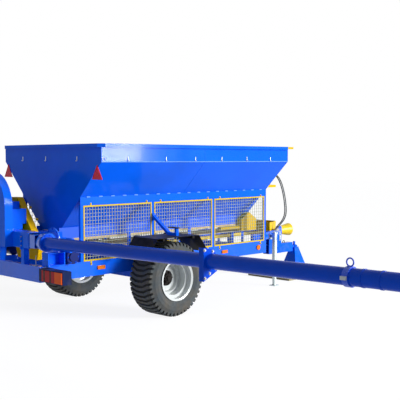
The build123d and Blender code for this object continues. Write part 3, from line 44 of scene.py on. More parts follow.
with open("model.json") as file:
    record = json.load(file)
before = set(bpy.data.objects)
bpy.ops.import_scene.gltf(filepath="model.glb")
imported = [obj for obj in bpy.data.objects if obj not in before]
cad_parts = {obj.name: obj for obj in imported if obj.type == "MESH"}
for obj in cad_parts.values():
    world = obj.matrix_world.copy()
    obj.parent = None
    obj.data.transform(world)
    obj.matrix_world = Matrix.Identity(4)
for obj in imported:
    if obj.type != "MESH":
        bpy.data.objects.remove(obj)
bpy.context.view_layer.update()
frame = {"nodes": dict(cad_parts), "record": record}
nodes = frame["nodes"]

# Axes and sides: +X runs to the drawbar, +Y to the left, +Z up. Lengths are in metres.
X, Y, Z = (1, 0, 0), (0, 1, 0), (0, 0, 1)
REARWARD = (-1, 0, 0)
SIGNS = (-1, 1)
SIDES = (("right", -1), ("left", 1))

# Main places on the machine.
AXLE_X = -1.355
HALF_TRACK = 1.13
WHEEL_HEIGHT = 0.535
BOOM_LINE_X = -3.14
BOOM_HEIGHT_AT_ROOT = 1.1426
BOOM_RISE = 0.0138  # for each metre out from the middle
HOPPER_FOLD_HEIGHT = 2.212
HOPPER_FOOT_HALF_WIDTH = 0.23
WALL_JOINT_X = -0.618
REFLECTOR_OUT = 1.1

# The mesh guards: three panels on each side, with tabs above and below.
GUARD_BAYS = 3
GUARD_GAP = 0.053
GUARD_BAR = 0.02
guard_low, guard_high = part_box("mesh_guards")
guard_gaps = (GUARD_BAYS - 1) * GUARD_GAP
guard_width = (guard_high.x - guard_low.x - guard_gaps) / GUARD_BAYS
guard_bottom, guard_top = guard_low.z + 0.058, guard_high.z - 0.034

# The hoses' route, measured from the axle along X, down the inner hose's middle.
HOSE_ROUTE = (
    (2.883, -0.633, 1.822),
    (2.883, -0.633, 1.885),
    (2.915, -0.633, 1.950),
    (2.985, -0.632, 1.985),
    (3.070, -0.631, 1.975),
    (3.155, -0.629, 1.920),
    (3.245, -0.622, 1.810),
    (3.335, -0.606, 1.640),
    (3.415, -0.580, 1.450),
    (3.470, -0.545, 1.290),
    (3.480, -0.510, 1.190),
    (3.450, -0.475, 1.110),
    (3.395, -0.448, 1.050),
    (3.352, -0.434, 1.000),
)
HOSE_SHIFTS = (("inner", 0.0), ("outer", 0.034))

# The tarpaulin hooks: along the sides, from the axle, and across the rear.
HOOK_LEVEL = 2.26
SIDE_HOOKS = (-0.76, -0.058, 0.532, 1.101, 1.681, 2.265)
REAR_HOOKS = (0.693, 0.097, -0.652)

# Bolts on the boom's clamp, as (along X, up) from the boom's middle line, and its two faces.
CLAMP_BOLTS = ((-0.09, 0.12), (0.03, 0.1), (0.074, -0.085), (-0.02, -0.125), (-0.09, -0.17))
CLAMP_FACES = ((3.6655, -1), (3.7345, 1))

# Rings of bolts as (along X, out, up) of their middle and the ring's radius.
FLANGE_OUT, FLANGE_RING = 0.768, 0.099
ELBOW_PLACE, ELBOW_RING = (-2.925, 0.569, 1.18), 0.135
MOTOR_PLACE, MOTOR_RING = (-2.76, 0.805, 0.9383), 0.081
INLET_OUT, INLET_HEIGHT, INLET_RING = 0.415, 1.6, 0.25
DUCT_BOLT_PLACE, DUCT_BOLT_HEIGHTS = (-3.236, 0.287), (1.09, 1.15, 1.21)

# Heads of bolts as (radius, height).
WHEEL_NUT = (0.016, 0.02)
CLAMP_HEAD = (0.013, 0.011)
FLANGE_HEAD = (0.009, 0.008)
ELBOW_HEAD = (0.01, 0.009)
DUCT_HEAD = (0.0075, 0.007)
GUARD_HEAD = (0.009, 0.012)
COVER_TAB = (0.016, 0.02)

# Lamps as (name, kind, strength, angle or sides, place, target).
LAMPS = (
    ("key", "SUN", 3.35, 0.35, (4.5, -9.0, 3.6), (0, 0, 1.2)),
    ("rear_fill", "SUN", 0.22, 0.6, (-9.0, -2.0, 5.0), (0, 0, 1.2)),
    ("softbox", "AREA", 430.0, (1.5, 0.8), (5.95, -11.4, 2.4), (-1.0, 0, 2.2)),
)
CAMERA_PLACE = (-8.747, -9.130, 2.241)
CAMERA_TURN = (86.961, 0, -45.272)  # in degrees
CAMERA_LENS = 68.2
FLOOR_HALF = 60
FLOOR_DROP = 0.002
WORLD_TINT = (0.92, 0.96, 1.0, 1)


class PaintSettings(bpy.types.PropertyGroup):
    """Colours of the paints and rubbers."""

    blue: FloatVectorProperty(
        name="Blue", description="Main paint", subtype="COLOR", default=(0.003, 0.135, 0.95)
    )
    boom_blue: FloatVectorProperty(
        name="Boom blue",
        description="Paint of the booms",
        subtype="COLOR",
        default=(0.002, 0.072, 0.68),
    )
    yellow: FloatVectorProperty(
        name="Yellow", description="Covers and guards", subtype="COLOR", default=(0.74, 0.48, 0.002)
    )
    silver: FloatVectorProperty(
        name="Silver", description="Wheel rims", subtype="COLOR", default=(0.64, 0.675, 0.67)
    )
    rubber: FloatVectorProperty(
        name="Rubber", description="Tyres", subtype="COLOR", default=(0.055, 0.067, 0.074)
    )
    dust: FloatProperty(
        name="Dust",
        description="Share of pale dust low down",
        default=0.12,
        min=0,
        max=1,
        subtype="FACTOR",
    )


class FittingSettings(bpy.types.PropertyGroup):
    """Sizes of the small fittings."""

    hook_height: FloatProperty(
        name="Hook height", description="Tarpaulin hook", default=0.052, unit="LENGTH"
    )
    hook_wire: FloatProperty(
        name="Hook wire", description="Radius of the hook's rod", default=0.005, unit="LENGTH"
    )
    stud_count: IntProperty(name="Wheel studs", description="Nuts on each wheel", default=6)
    stud_circle: FloatProperty(
        name="Stud circle", description="Radius of the ring of nuts", default=0.089, unit="LENGTH"
    )
    hose_radius: FloatProperty(
        name="Hose radius", description="Half the hose's thickness", default=0.01, unit="LENGTH"
    )


class Shades:
    """A material's node tree, built a node at a time."""

    def __init__(self, name):
        self.material = bpy.data.materials.new(name)
        self.material.use_nodes = True
        self.tree = self.material.node_tree
        self.shader = self.tree.nodes["Principled BSDF"]
        self.place = self.add("ShaderNodeTexCoord").outputs["Object"]

    def add(self, kind, values=(), links=(), **settings):
        """One node with its settings, socket values and incoming links."""
        node = self.tree.nodes.new(kind)
        for key, value in settings.items():
            setattr(node, key, value)
        for key, value in dict(values).items():
            node.inputs[key].default_value = value
        for key, source in dict(links).items():
            self.tree.links.new(source, node.inputs[key])
        return node

    def noise(self, scale, detail=4.0, stretch=None):
        """Noise on the object's own coordinates, stretched along an axis if asked."""
        source = self.place
        if stretch:
            mapping = self.add("ShaderNodeMapping", {"Scale": stretch}, {"Vector": source})
            source = mapping.outputs["Vector"]
        made = self.add(
            "ShaderNodeTexNoise", {"Scale": scale, "Detail": detail}, {"Vector": source}
        )
        return made.outputs["Fac"]

    def cells(self, scale, randomness=1.0):
        """Distance to the middle of the nearest cell, on the object's own coordinates."""
        values = {"Scale": scale, "Randomness": randomness}
        made = self.add("ShaderNodeTexVoronoi", values, {"Vector": self.place})
        return made.outputs["Distance"]

    def ramp(self, source, low, high, start=0.0, end=1.0):
        """Maps low to high of a value on to start to end, held between them."""
        made = self.add(
            "ShaderNodeMapRange",
            {"From Min": low, "From Max": high, "To Min": start, "To Max": end},
            {"Value": source},
        )
        return made.outputs["Result"]

    def math(self, operation, first, second=0):
        """A function of one value or two, each a socket or a number."""
        node = self.tree.nodes.new("ShaderNodeMath")
        node.operation = operation
        for socket, value in zip(node.inputs, (first, second)):
            if isinstance(value, (int, float)):
                socket.default_value = value
            else:
                self.tree.links.new(value, socket)
        return node.outputs["Value"]

    def waves(self, source, pitch):
        """The sine of a value that is first stretched by a factor."""
        return self.math("SINE", self.math("MULTIPLY", source, pitch))

    def blend(self, share, first, second):
        """A mix of two colours by a share."""
        node = self.add("ShaderNodeMix", data_type="RGBA")
        self.tree.links.new(share, node.inputs["Factor"])
        for socket, value in ((node.inputs[6], first), (node.inputs[7], second)):
            if hasattr(value, "is_linked"):
                self.tree.links.new(value, socket)
            else:
                socket.default_value = (*value, 1)
        return node.outputs[2]

    def darker(self, share, colour, factor):
        """A colour that falls to a darker form of itself by a share."""
        return self.blend(share, colour, [factor * c for c in colour])

    def axis(self, name):
        """One of the object's coordinates."""
        return self.add("ShaderNodeSeparateXYZ", links={"Vector": self.place}).outputs[name]

    def away(self, name):
        """The size of one of the object's coordinates, alike on both sides."""
        return self.math("ABSOLUTE", self.axis(name))

    def hold(self, socket, value):
        """Sets one of the shader's own sockets to a constant."""
        self.shader.inputs[socket].default_value = value

    def link(self, socket, source):
        """Feeds one of the shader's own sockets."""
        self.tree.links.new(source, self.shader.inputs[socket])

    def rough(self, scale, detail, low, high):
        """Lets the roughness wander between two values."""
        self.link("Roughness", self.ramp(self.noise(scale, detail), 0.3, 0.7, low, high))

    def bump(self, height, strength, distance):
        """Raises the face by a height without moving its points."""
        made = self.add(
            "ShaderNodeBump", {"Strength": strength, "Distance": distance}, {"Height": height}
        )
        self.tree.links.new(made.outputs["Normal"], self.shader.inputs["Normal"])


def paint(name, colour, roughness=0.16, coat=0.05, dust=0.12, specular=0.05):
    """Gloss paint: slight patches of tone, fine orange peel, dust on what lies level and low."""
    s = Shades(name)
    s.hold("Coat Weight", coat)
    s.hold("Coat Roughness", 0.06)
    s.hold("Specular IOR Level", specular)
    tone = s.darker(s.ramp(s.noise(1.3, 3), 0.35, 0.65), colour, 0.86)
    normal = s.add("ShaderNodeNewGeometry").outputs["Normal"]
    upward = s.add("ShaderNodeSeparateXYZ", links={"Vector": normal}).outputs["Z"]
    settled = s.math("MULTIPLY", s.ramp(upward, 0.4, 1.0), s.ramp(s.noise(9, 6), 0.35, 0.75))
    low = s.math("MULTIPLY", s.ramp(s.axis("Z"), 1.0, 0.4), s.ramp(s.noise(6, 6), 0.5, 0.8))
    dirt = s.math("MULTIPLY", s.math("MAXIMUM", settled, low), dust)
    s.link("Base Color", s.blend(dirt, tone, (0.5, 0.47, 0.42)))
    clean = s.ramp(s.noise(3, 4), 0.3, 0.7, roughness - 0.03, roughness + 0.05)
    s.link("Roughness", s.math("ADD", clean, dirt))
    s.bump(s.noise(70, 2), 0.012, 0.001)
    return s.material


def metal(name, colour, roughness=0.4):
    """Bare or zinc-coated steel: spangled patches and fine grain."""
    s = Shades(name)
    s.hold("Metallic", 0.85)
    s.link("Base Color", s.darker(s.ramp(s.cells(55.0), 0.0, 0.8), colour, 0.72))
    s.rough(30, 6, roughness - 0.1, roughness + 0.12)
    s.bump(s.noise(220, 3), 0.1, 0.0008)
    return s.material


def rubber(name, colour, share):
    """Matt rubber with dust worked into it."""
    s = Shades(name)
    patch = s.math("MULTIPLY", s.ramp(s.noise(7, 7), 0.42, 0.68), share)
    s.link("Base Color", s.blend(patch, colour, (0.16, 0.15, 0.13)))
    s.rough(25, 4, 0.62, 0.88)
    s.bump(s.noise(300, 3), 0.22, 0.0012)
    return s.material


def tread(name, colour):
    """Tyre rubber: painted shade between the lugs, grey and dusty on the wall, with moulded rings.
    """
    lug_top, lug_foot = 0.524, 0.508
    tread_edge, tread_inside = 0.215, 0.195
    wall_edge, wall_inside = 0.455, 0.44
    s = Shades(name)
    height = s.math("SUBTRACT", s.axis("Z"), WHEEL_HEIGHT)
    along = s.math("SUBTRACT", s.axis("X"), AXLE_X)
    square = s.math("ADD", s.math("MULTIPLY", height, height), s.math("MULTIPLY", along, along))
    reach = s.math("SQRT", square)
    inward = s.math("ABSOLUTE", s.math("SUBTRACT", s.away("Y"), HALF_TRACK))
    under = s.ramp(reach, lug_top, lug_foot)
    # Near-black painted shade in the gaps between the lugs, where the tread's recesses lie in
    # shade.
    painted_groove_shade = s.math("MULTIPLY", under, s.ramp(inward, tread_edge, tread_inside))
    wear_and_highlight = s.blend(s.ramp(s.noise(6, 7), 0.4, 0.7), colour, (0.085, 0.078, 0.066))
    s.link("Base Color", s.blend(painted_groove_shade, wear_and_highlight, (0.009, 0.01, 0.01)))
    s.rough(25, 4, 0.62, 0.88)
    s.hold("Specular IOR Level", 0.3)
    rings = s.ramp(s.waves(reach, 260.0), 0.5, 0.9)
    wall = s.math("MULTIPLY", s.ramp(reach, wall_edge, wall_inside), rings)
    s.bump(s.math("ADD", wall, s.math("MULTIPLY", s.noise(300, 3), 0.3)), 0.3, 0.002)
    return s.material


def guard_paint(name, frame_colour, wire_colour):
    """Yellow frames and tabs round pale zinc wires, told apart by their place in each panel."""
    s = Shades(name)
    edge = 0.001
    pitch = (guard_high.x - guard_low.x - guard_width) / 2
    start = guard_low.x - (pitch - guard_width) / 2
    bay = s.math("DIVIDE", s.math("SUBTRACT", s.axis("X"), start), pitch)
    off = s.math("ABSOLUTE", s.math("SUBTRACT", s.math("FRACT", bay), 0.5))
    inner = guard_width / 2 - GUARD_BAR
    upright = s.ramp(s.math("MULTIPLY", off, pitch), inner, inner + edge)
    middle = (guard_bottom + guard_top) / 2
    inner = (guard_top - guard_bottom) / 2 - GUARD_BAR
    rise = s.math("ABSOLUTE", s.math("SUBTRACT", s.axis("Z"), middle))
    bar = s.math("MAXIMUM", upright, s.ramp(rise, inner, inner + edge))
    yellow = s.darker(s.ramp(s.noise(40, 6), 0.66, 0.7), frame_colour, 0.5)
    pale = s.darker(s.ramp(s.noise(20, 4), 0.35, 0.65), wire_colour, 0.75)
    s.link("Base Color", s.blend(bar, pale, yellow))
    s.hold("Specular IOR Level", 0.12)
    s.rough(30, 5, 0.3, 0.5)
    s.bump(s.noise(180, 2), 0.08, 0.0008)
    return s.material


def skirt_paint(name, colour):
    """Conveyor sides: blue plate with a cream sealing strip along the foot."""
    strip_top = 1.13
    s = Shades(name)
    foot = s.ramp(s.axis("Z"), strip_top, strip_top - 0.005)
    plate = s.darker(s.ramp(s.noise(1.3, 3), 0.35, 0.65), colour, 0.8)
    cream = s.blend(s.ramp(s.noise(8, 6), 0.35, 0.7), (0.8, 0.6, 0.27), (0.62, 0.46, 0.22))
    s.link("Base Color", s.blend(foot, plate, cream))
    s.hold("Specular IOR Level", 0.3)
    s.rough(14, 5, 0.3, 0.5)
    s.bump(s.noise(120, 2), 0.05, 0.001)
    return s.material


def clamp_paint(name, colour, steel):
    """The boom's clamp: painted band and ring, and bare bolts under it."""
    face_depth = 0.094
    s = Shades(name)
    middle = s.math("ADD", s.math("MULTIPLY", s.away("Y"), BOOM_RISE), BOOM_HEIGHT_AT_ROOT)
    below = s.math("SUBTRACT", middle, s.axis("Z"))
    bare = s.math("MULTIPLY", s.ramp(below, -0.02, -0.015), s.ramp(below, 0.09, 0.085))
    face = BOOM_LINE_X - face_depth
    outward = s.ramp(s.axis("X"), face, face - 0.003)
    wear_and_highlight = s.blend(s.ramp(s.noise(30, 5), 0.6, 0.7), colour, steel)
    s.link("Base Color", s.blend(s.math("MULTIPLY", bare, outward), wear_and_highlight, steel))
    s.rough(30, 5, 0.26, 0.42)
    s.bump(s.noise(150, 2), 0.06, 0.0008)
    return s.material


def plastic(name, colour):
    """Moulded plastic with a faint grain."""
    s = Shades(name)
    s.link("Base Color", s.darker(s.ramp(s.noise(5, 5), 0.3, 0.7), colour, 0.8))
    s.rough(18, 5, 0.29, 0.45)
    s.bump(s.noise(240, 2), 0.05, 0.0008)
    return s.material


def lens(name):
    """Lamp lens: red inside and orange outside, in upright bands over fine ribs."""
    orange_from = 1.08
    s = Shades(name)
    out = s.away("Y")
    orange = s.ramp(out, orange_from, orange_from + 0.005)
    bands = s.ramp(s.waves(out, 46.0), 0.55, 0.75)
    red = s.blend(bands, (0.42, 0.003, 0.014), (0.05, 0.002, 0.006))
    s.link("Base Color", s.blend(orange, red, (0.8, 0.1, 0.006)))
    s.hold("Specular IOR Level", 0.1)
    s.rough(20, 4, 0.14, 0.26)
    s.bump(s.waves(out, 700.0), 0.3, 0.001)
    return s.material


def prism(name, colour):
    """Reflector: small prisms under a clear face."""
    s = Shades(name)
    cells = s.cells(260.0, randomness=0.0)
    s.link("Base Color", s.darker(s.ramp(cells, 0.1, 0.6), colour, 0.75))
    s.hold("Specular IOR Level", 0.15)
    s.hold("Coat Weight", 0.15)
    s.rough(20, 4, 0.15, 0.3)
    s.bump(cells, 0.15, 0.001)
    return s.material


def board(name):
    """Weathered board with grain along the machine."""
    s = Shades(name)
    grain = s.noise(14, 8, (1.2, 14, 14))
    stain = s.noise(3, 5)
    tone = s.blend(s.ramp(grain, 0.35, 0.65), (0.2, 0.17, 0.085), (0.4, 0.36, 0.22))
    s.link("Base Color", s.blend(s.ramp(stain, 0.5, 0.75), tone, (0.13, 0.13, 0.07)))
    s.link("Roughness", s.ramp(stain, 0.2, 0.8, 0.7, 0.92))
    s.bump(grain, 0.4, 0.002)
    return s.material


def belting(name):
    """Cream conveyor belt with a woven face and lime dust."""
    thread = 420.0
    s = Shades(name)
    tone = s.blend(s.ramp(s.noise(4, 6), 0.35, 0.7), (0.6, 0.47, 0.3), (0.78, 0.7, 0.55))
    s.link("Base Color", tone)
    s.rough(12, 4, 0.7, 0.9)
    weave = s.math("MULTIPLY", s.waves(s.axis("X"), thread), s.waves(s.axis("Y"), thread))
    s.bump(weave, 0.2, 0.0008)
    return s.material


def braid(name):
    """Hose with a woven wire sleeve, on the hose's own length and turn."""
    s = Shades(name)
    spot = s.add("ShaderNodeUVMap").outputs["UV"]
    parts = s.add("ShaderNodeSeparateXYZ", links={"Vector": spot})
    along = s.math("MULTIPLY", parts.outputs["X"], 420.0)
    turn = s.math("MULTIPLY", parts.outputs["Y"], 25.13)
    left = s.math("SINE", s.math("ADD", along, turn))
    right = s.math("SINE", s.math("SUBTRACT", along, turn))
    weave = s.ramp(s.math("MULTIPLY", left, right), -1.0, 1.0)
    s.link("Base Color", s.blend(weave, (0.03, 0.035, 0.035), (0.16, 0.18, 0.18)))
    s.hold("Metallic", 0.4)
    s.link("Roughness", s.ramp(weave, 0.0, 1.0, 0.55, 0.36))
    s.bump(weave, 0.5, 0.0015)
    return s.material


def make_finishes(colours):
    """Every finish, by its material slot in the record or by the start of a piece's name."""
    blue, boom_blue, dust = colours.blue, colours.boom_blue, colours.dust
    black, navy = (0.014, 0.012, 0.011), (0.004, 0.014, 0.075)
    return {
        "blue_paint": paint("blue_paint", blue, dust=dust),
        "boom_paint": paint("boom_paint", boom_blue, roughness=0.2, dust=0.05),
        "yellow_paint": paint("yellow_paint", colours.yellow, roughness=0.34, coat=0.1, dust=dust),
        "yellow_plastic": plastic("yellow_plastic", (0.95, 0.66, 0.003)),
        "black_paint": paint("black_paint", black, roughness=0.42, coat=0.1, dust=0.1),
        "black_rubber": rubber("black_rubber", (0.015, 0.015, 0.015), share=0.2),
        "tyre_rubber": tread("tyre_rubber", colours.rubber),
        "silver_paint": paint("silver_paint", colours.silver, roughness=0.3, coat=0.3, dust=0.15),
        "belt_rubber": belting("belt_rubber"),
        "bare_steel": metal("bare_steel", (0.42, 0.42, 0.43)),
        "cast_block": paint("cast_block", blue, roughness=0.5, coat=0.0, dust=dust),
        "galvanised": metal("galvanised", (0.6, 0.68, 0.67), roughness=0.42),
        "lamp_plastic": lens("lamp_plastic"),
        "reflector_plastic": prism("reflector_plastic", (0.85, 0.006, 0.05)),
        "amber_plastic": prism("amber_plastic", (0.95, 0.22, 0.008)),
        "board_wood": board("board_wood"),
        "hose_rubber": braid("hose_rubber"),
        "conveyor_frame": skirt_paint("skirt_paint", blue),
        "elbows": paint("elbow_paint", (0.02, 0.17, 0.92), coat=0.5, dust=dust, specular=0.4),
        "chassis_frame": paint("frame_paint", blue, coat=0.2, dust=dust, specular=0.2),
        # Belt cover: a lighter copy of the yellow paint, painted light for its rear face, which
        # lies in shade.
        "belt_cover": paint("lightened_cover_paint", (1.0, 0.58, 0.0), roughness=0.34, dust=dust),
        "lamp_boxes": paint("lamp_box_paint", navy, roughness=0.35, coat=0.1),
        "boom_motors": paint("motor_paint", (0.006, 0.018, 0.15), roughness=0.3, coat=0.3),
        # Paler blue for the fold and stitch beads: painted highlight along the fold and on the
        # stitches, with some wear and dust.
        "fold_beads": paint("wear_and_highlight_paint", (0.16, 0.38, 0.8), roughness=0.3, dust=0.4),
        "mesh_guards": guard_paint("guard_paint", (0.66, 0.47, 0.003), (0.5, 0.54, 0.4)),
        "boom_clamp": clamp_paint("clamp_paint", boom_blue, (0.5, 0.55, 0.6)),
    }


finishes = {}


def finish_of(slot):
    """The finish of a material slot, or a plain message if there is none."""
    if slot not in finishes:
        raise KeyError(f"no finish for {slot}")
    return finishes[slot]


def add_piece(name, points, faces, body, slot):
    """A mesh piece from an array of points and an array or list of faces."""
    mesh = bpy.data.meshes.new(name)
    mesh.from_pydata(np.asarray(points).reshape(-1, 3).tolist(), [], [list(f) for f in faces])
    mesh.validate()
    mesh.update()
    mesh.polygons.foreach_set("use_smooth", [True] * len(mesh.polygons))
    mesh.set_sharp_from_angle(angle=math.radians(40))
    piece = bpy.data.objects.new(name, mesh)
    bpy.context.scene.collection.objects.link(piece)
    mesh.materials.append(finish_of(slot))
    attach(piece, body)
    return piece


def grid_faces(rows, columns, close_columns=False):
    """Four-cornered faces between neighbouring rows and columns of a grid of points."""
    row = np.arange(rows - 1)[:, None]
    column = np.arange(columns if close_columns else columns - 1)[None, :]
    after = (column + 1) % columns
    corners = (
        row * columns + column,
        row * columns + after,
        (row + 1) * columns + after,
        (row + 1) * columns + column,
    )
    shape = (rows - 1, column.size)
    return np.stack([np.broadcast_to(c, shape) for c in corners], -1).reshape(-1, 4)


def closed_faces(rows, count):
    """Faces of a row of rings, with a flat face on the first ring and on the last."""
    faces = [tuple(f) for f in grid_faces(rows, count, close_columns=True)[:, ::-1]]
    first = tuple(range(count))
    last = tuple(range((rows - 1) * count, rows * count))
    return faces + [first, last[::-1]]


def whole_turn(count):
    """Angles in equal steps over a whole turn."""
    return np.linspace(0, 2 * np.pi, count, endpoint=False)


def directions(axis, across, angles):
    """Unit vectors square to an axis: cosine of the angle across, sine along the third way."""
    third = np.cross(axis, across)
    return np.cos(angles)[:, None] * np.asarray(across) + np.sin(angles)[:, None] * third


def turned(profile, middle, axis, across, count):
    """A solid: (along, radius) pairs carried round a circle square to an axis, ends closed."""
    along, radius = np.asarray(profile, float).T[:, :, None, None]
    ring = directions(axis, across, whole_turn(count))
    points = np.asarray(middle) + along * np.asarray(axis) + radius * ring
    return points, closed_faces(len(profile), count)


def join_shapes(shapes):
    """One list of points and faces from several."""
    points, faces, start = [], [], 0
    for some_points, some_faces in shapes:
        flat = np.asarray(some_points).reshape(-1, 3)
        points.append(flat)
        faces += [tuple(int(i) + start for i in f) for f in some_faces]
        start += len(flat)
    return np.concatenate(points), faces


def bolt(middle, axis, across, size):
    """A six-sided head with a rounded washer: one profile turned in six, one in sixteen."""
    radius, height = size
    head = [(0, radius * 0.2), (0, radius), (height * 0.85, radius), (height, radius * 0.86)]
    washer = [(-0.001, radius * 0.3), (-0.001, radius * 1.35), (0.0015, radius * 1.3)]
    return [turned(head, middle, axis, across, 6), turned(washer, middle, axis, across, 16)]


def bolts_round(middle, axis, across, circle, angles, size):
    """Bolt heads at angles, in degrees, round a circle square to an axis."""
    spots = np.asarray(middle) + circle * directions(axis, across, np.radians(angles))
    return [shape for spot in spots for shape in bolt(spot, axis, across, size)]


def rod(path, radius, count=8):
    """A round rod along a path: a circle in the plane square to the path at each point."""
    guide = (0.31, 0.52, 0.79)  # along no rod of this machine
    path = np.asarray(path, float)
    along = np.gradient(path, axis=0)
    along /= np.linalg.norm(along, axis=1, keepdims=True)
    first = np.cross(along, guide)
    first /= np.linalg.norm(first, axis=1, keepdims=True)
    second = np.cross(along, first)
    angle = whole_turn(count)[:, None]
    ring = np.cos(angle) * first[:, None] + np.sin(angle) * second[:, None]
    return path[:, None] + radius * ring, closed_faces(len(path), count)


def ring_of(middle, axis, across, radius, wire, count=28, around=8):
    """A ring: a circle of the wire's radius carried round a circle square to an axis."""
    out = directions(axis, across, whole_turn(count))[:, None]
    small = whole_turn(around)[:, None]
    points = np.asarray(middle) + (radius + wire * np.cos(small)) * out
    points = points + wire * np.sin(small) * np.asarray(axis)
    return points, grid_faces(count + 1, around, close_columns=True) % (count * around)


class SPREADER_OT_finishes(bpy.types.Operator):
    """Give every CAD node the finish of its material slot"""

    bl_idname = "spreader.finishes"
    bl_label = "Finishes"

    def execute(self, context):
        finishes.update(make_finishes(context.scene.spreader_paint))
        slots = {r["node"]: r["material_slot"] for r in frame["record"]["subparts"]}
        for name, node in nodes.items():
            own = next((key for key in finishes if name.startswith(key)), slots[name])
            node.data.materials.clear()
            node.data.materials.append(finish_of(own))
        return {"FINISHED"}


class SPREADER_OT_hoses(bpy.types.Operator):
    """Hang the two hoses between the hopper's bracket and the drawbar"""

    bl_idname = "spreader.hoses"
    bl_label = "Hoses"

    def execute(self, context):
        radius = context.scene.spreader_fittings.hose_radius
        for name, shift in HOSE_SHIFTS:
            curve = bpy.data.curves.new(f"hose_line_{name}", "CURVE")
            curve.dimensions = "3D"
            curve.bevel_depth = radius
            curve.bevel_resolution = 3
            curve.resolution_u = 8
            curve.render_resolution_u = 8
            curve.use_fill_caps = True
            spline = curve.splines.new("NURBS")
            spline.points.add(len(HOSE_ROUTE) - 1)
            for point, (x, y, z) in zip(spline.points, HOSE_ROUTE):
                point.co = (AXLE_X + x, y - shift, z, 1)
            spline.order_u = 3
            spline.use_endpoint_u = True
            hose = bpy.data.objects.new(f"hose_line_{name}", curve)
            context.scene.collection.objects.link(hose)
            curve.materials.append(finish_of("hose_rubber"))
            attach(hose, "chassis")
            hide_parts(f"hose_{name}")
            x, y, z = HOSE_ROUTE[0]
        return {"FINISHED"}


class SPREADER_OT_hooks(bpy.types.Operator):
    """Weld the row of tarpaulin hooks under the hopper's rim: a straight rod with a half turn"""

    bl_idname = "spreader.hooks"
    bl_label = "Tarpaulin hooks"

    def execute(self, context):
        sizes = context.scene.spreader_fittings
        wire, half = sizes.hook_wire, sizes.hook_height / 2
        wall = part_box("hopper_wall_left")[1].y
        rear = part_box("hopper_ends")[0].x
        turn = np.linspace(0, np.pi, 7)[1:]
        bend_width, bend_depth = 0.01, 0.012
        out = wire + np.append(np.zeros(3), bend_width - bend_width * np.cos(turn))
        rise = HOOK_LEVEL + np.append((half, 0, -half), -half - bend_depth * np.sin(turn))
        shapes = []
        for sign in SIGNS:
            for place in SIDE_HOOKS:
                x = np.full_like(out, AXLE_X + place)
                shapes.append(rod(np.stack([x, sign * (wall + out), rise], -1), wire))
        for place in REAR_HOOKS:
            y = np.full_like(out, place)
            shapes.append(rod(np.stack([rear - out, y, rise], -1), wire))
        add_piece("tarp_hooks", *join_shapes(shapes), "chassis", "galvanised")
        return {"FINISHED"}


class SPREADER_OT_wheel_nuts(bpy.types.Operator):
    """Fasten each wheel with a ring of nuts round its hub"""

    bl_idname = "spreader.wheel_nuts"
    bl_label = "Wheel nuts"

    def execute(self, context):
        sizes = context.scene.spreader_fittings
        angles = 360 / sizes.stud_count * np.arange(sizes.stud_count)
        for side, sign in SIDES:
            hub = (AXLE_X, sign * HALF_TRACK, WHEEL_HEIGHT)
            way = (0, sign, 0)
            nuts = bolts_round(hub, way, X, sizes.stud_circle, -sign * angles, WHEEL_NUT)
            add_piece(f"wheel_nuts_{side}", *join_shapes(nuts), f"wheel_{side}", "black_paint")
        return {"FINISHED"}


class SPREADER_OT_seams(bpy.types.Operator):
    """Run the weld beads along the hopper's folds, corners and joints"""

    bl_idname = "spreader.seams"
    bl_label = "Hopper seams"

    def execute(self, context):
        low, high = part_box("hopper_ends")
        fold, top = HOPPER_FOLD_HEIGHT, high.z - 0.05
        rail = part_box("side_frames")[1].y
        slope = (fold - low.z) / (high.y - HOPPER_FOOT_HALF_WIDTH)
        rail_z = low.z + (rail - HOPPER_FOOT_HALF_WIDTH) * slope
        corner_bead, joint_bead, fold_bead, stitch_bead = 0.004, 0.003, 0.006, 0.008
        stitch_length, stitch_pitch = 0.06, 0.215
        # Beads in the second list get a paler blue: painted highlight along the fold line and on
        # the stitch welds, together with some wear.
        welds, wear_and_highlight = [], []
        for sign in SIGNS:
            foot, wall = sign * HOPPER_FOOT_HALF_WIDTH, sign * high.y
            for x in (low.x, high.x):
                corner = [(x, foot, low.z + 0.02), (x, wall, fold), (x, wall, top)]
                welds.append(rod(corner, corner_bead))
            wear_and_highlight.append(rod([(low.x, wall, fold), (high.x, wall, fold)], fold_bead))
            x, beside = WALL_JOINT_X, sign * (rail + 0.01)
            joint = [(x, beside, rail_z + 0.012), (x, wall, fold), (x, wall, top)]
            welds.append(rod(joint, joint_bead))
            beside = sign * (rail + 0.004)
            for x in np.arange(low.x + 0.1, high.x - 0.1, stitch_pitch):
                stitch = [(x, beside, rail_z), (x + stitch_length, beside, rail_z)]
                wear_and_highlight.append(rod(stitch, stitch_bead))
        add_piece("hopper_welds", *join_shapes(welds), "chassis", "blue_paint")
        beads = add_piece("fold_beads", *join_shapes(wear_and_highlight), "chassis", "blue_paint")
        beads.data.materials[0] = finish_of("fold_beads")
        return {"FINISHED"}


class SPREADER_OT_rings(bpy.types.Operator):
    """Weld a lashing ring to the hopper's rear corners"""

    bl_idname = "spreader.rings"
    bl_label = "Lashing rings"

    def execute(self, context):
        along, height, radius, wire = -2.53, 2.247, 0.024, 0.005
        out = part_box("hopper_wall_left")[1].y + wire
        shapes = [
            ring_of((along, sign * out, height), (0, sign, 0), X, radius, wire) for sign in SIGNS
        ]
        add_piece("lashing_rings", *join_shapes(shapes), "chassis", "galvanised")
        return {"FINISHED"}


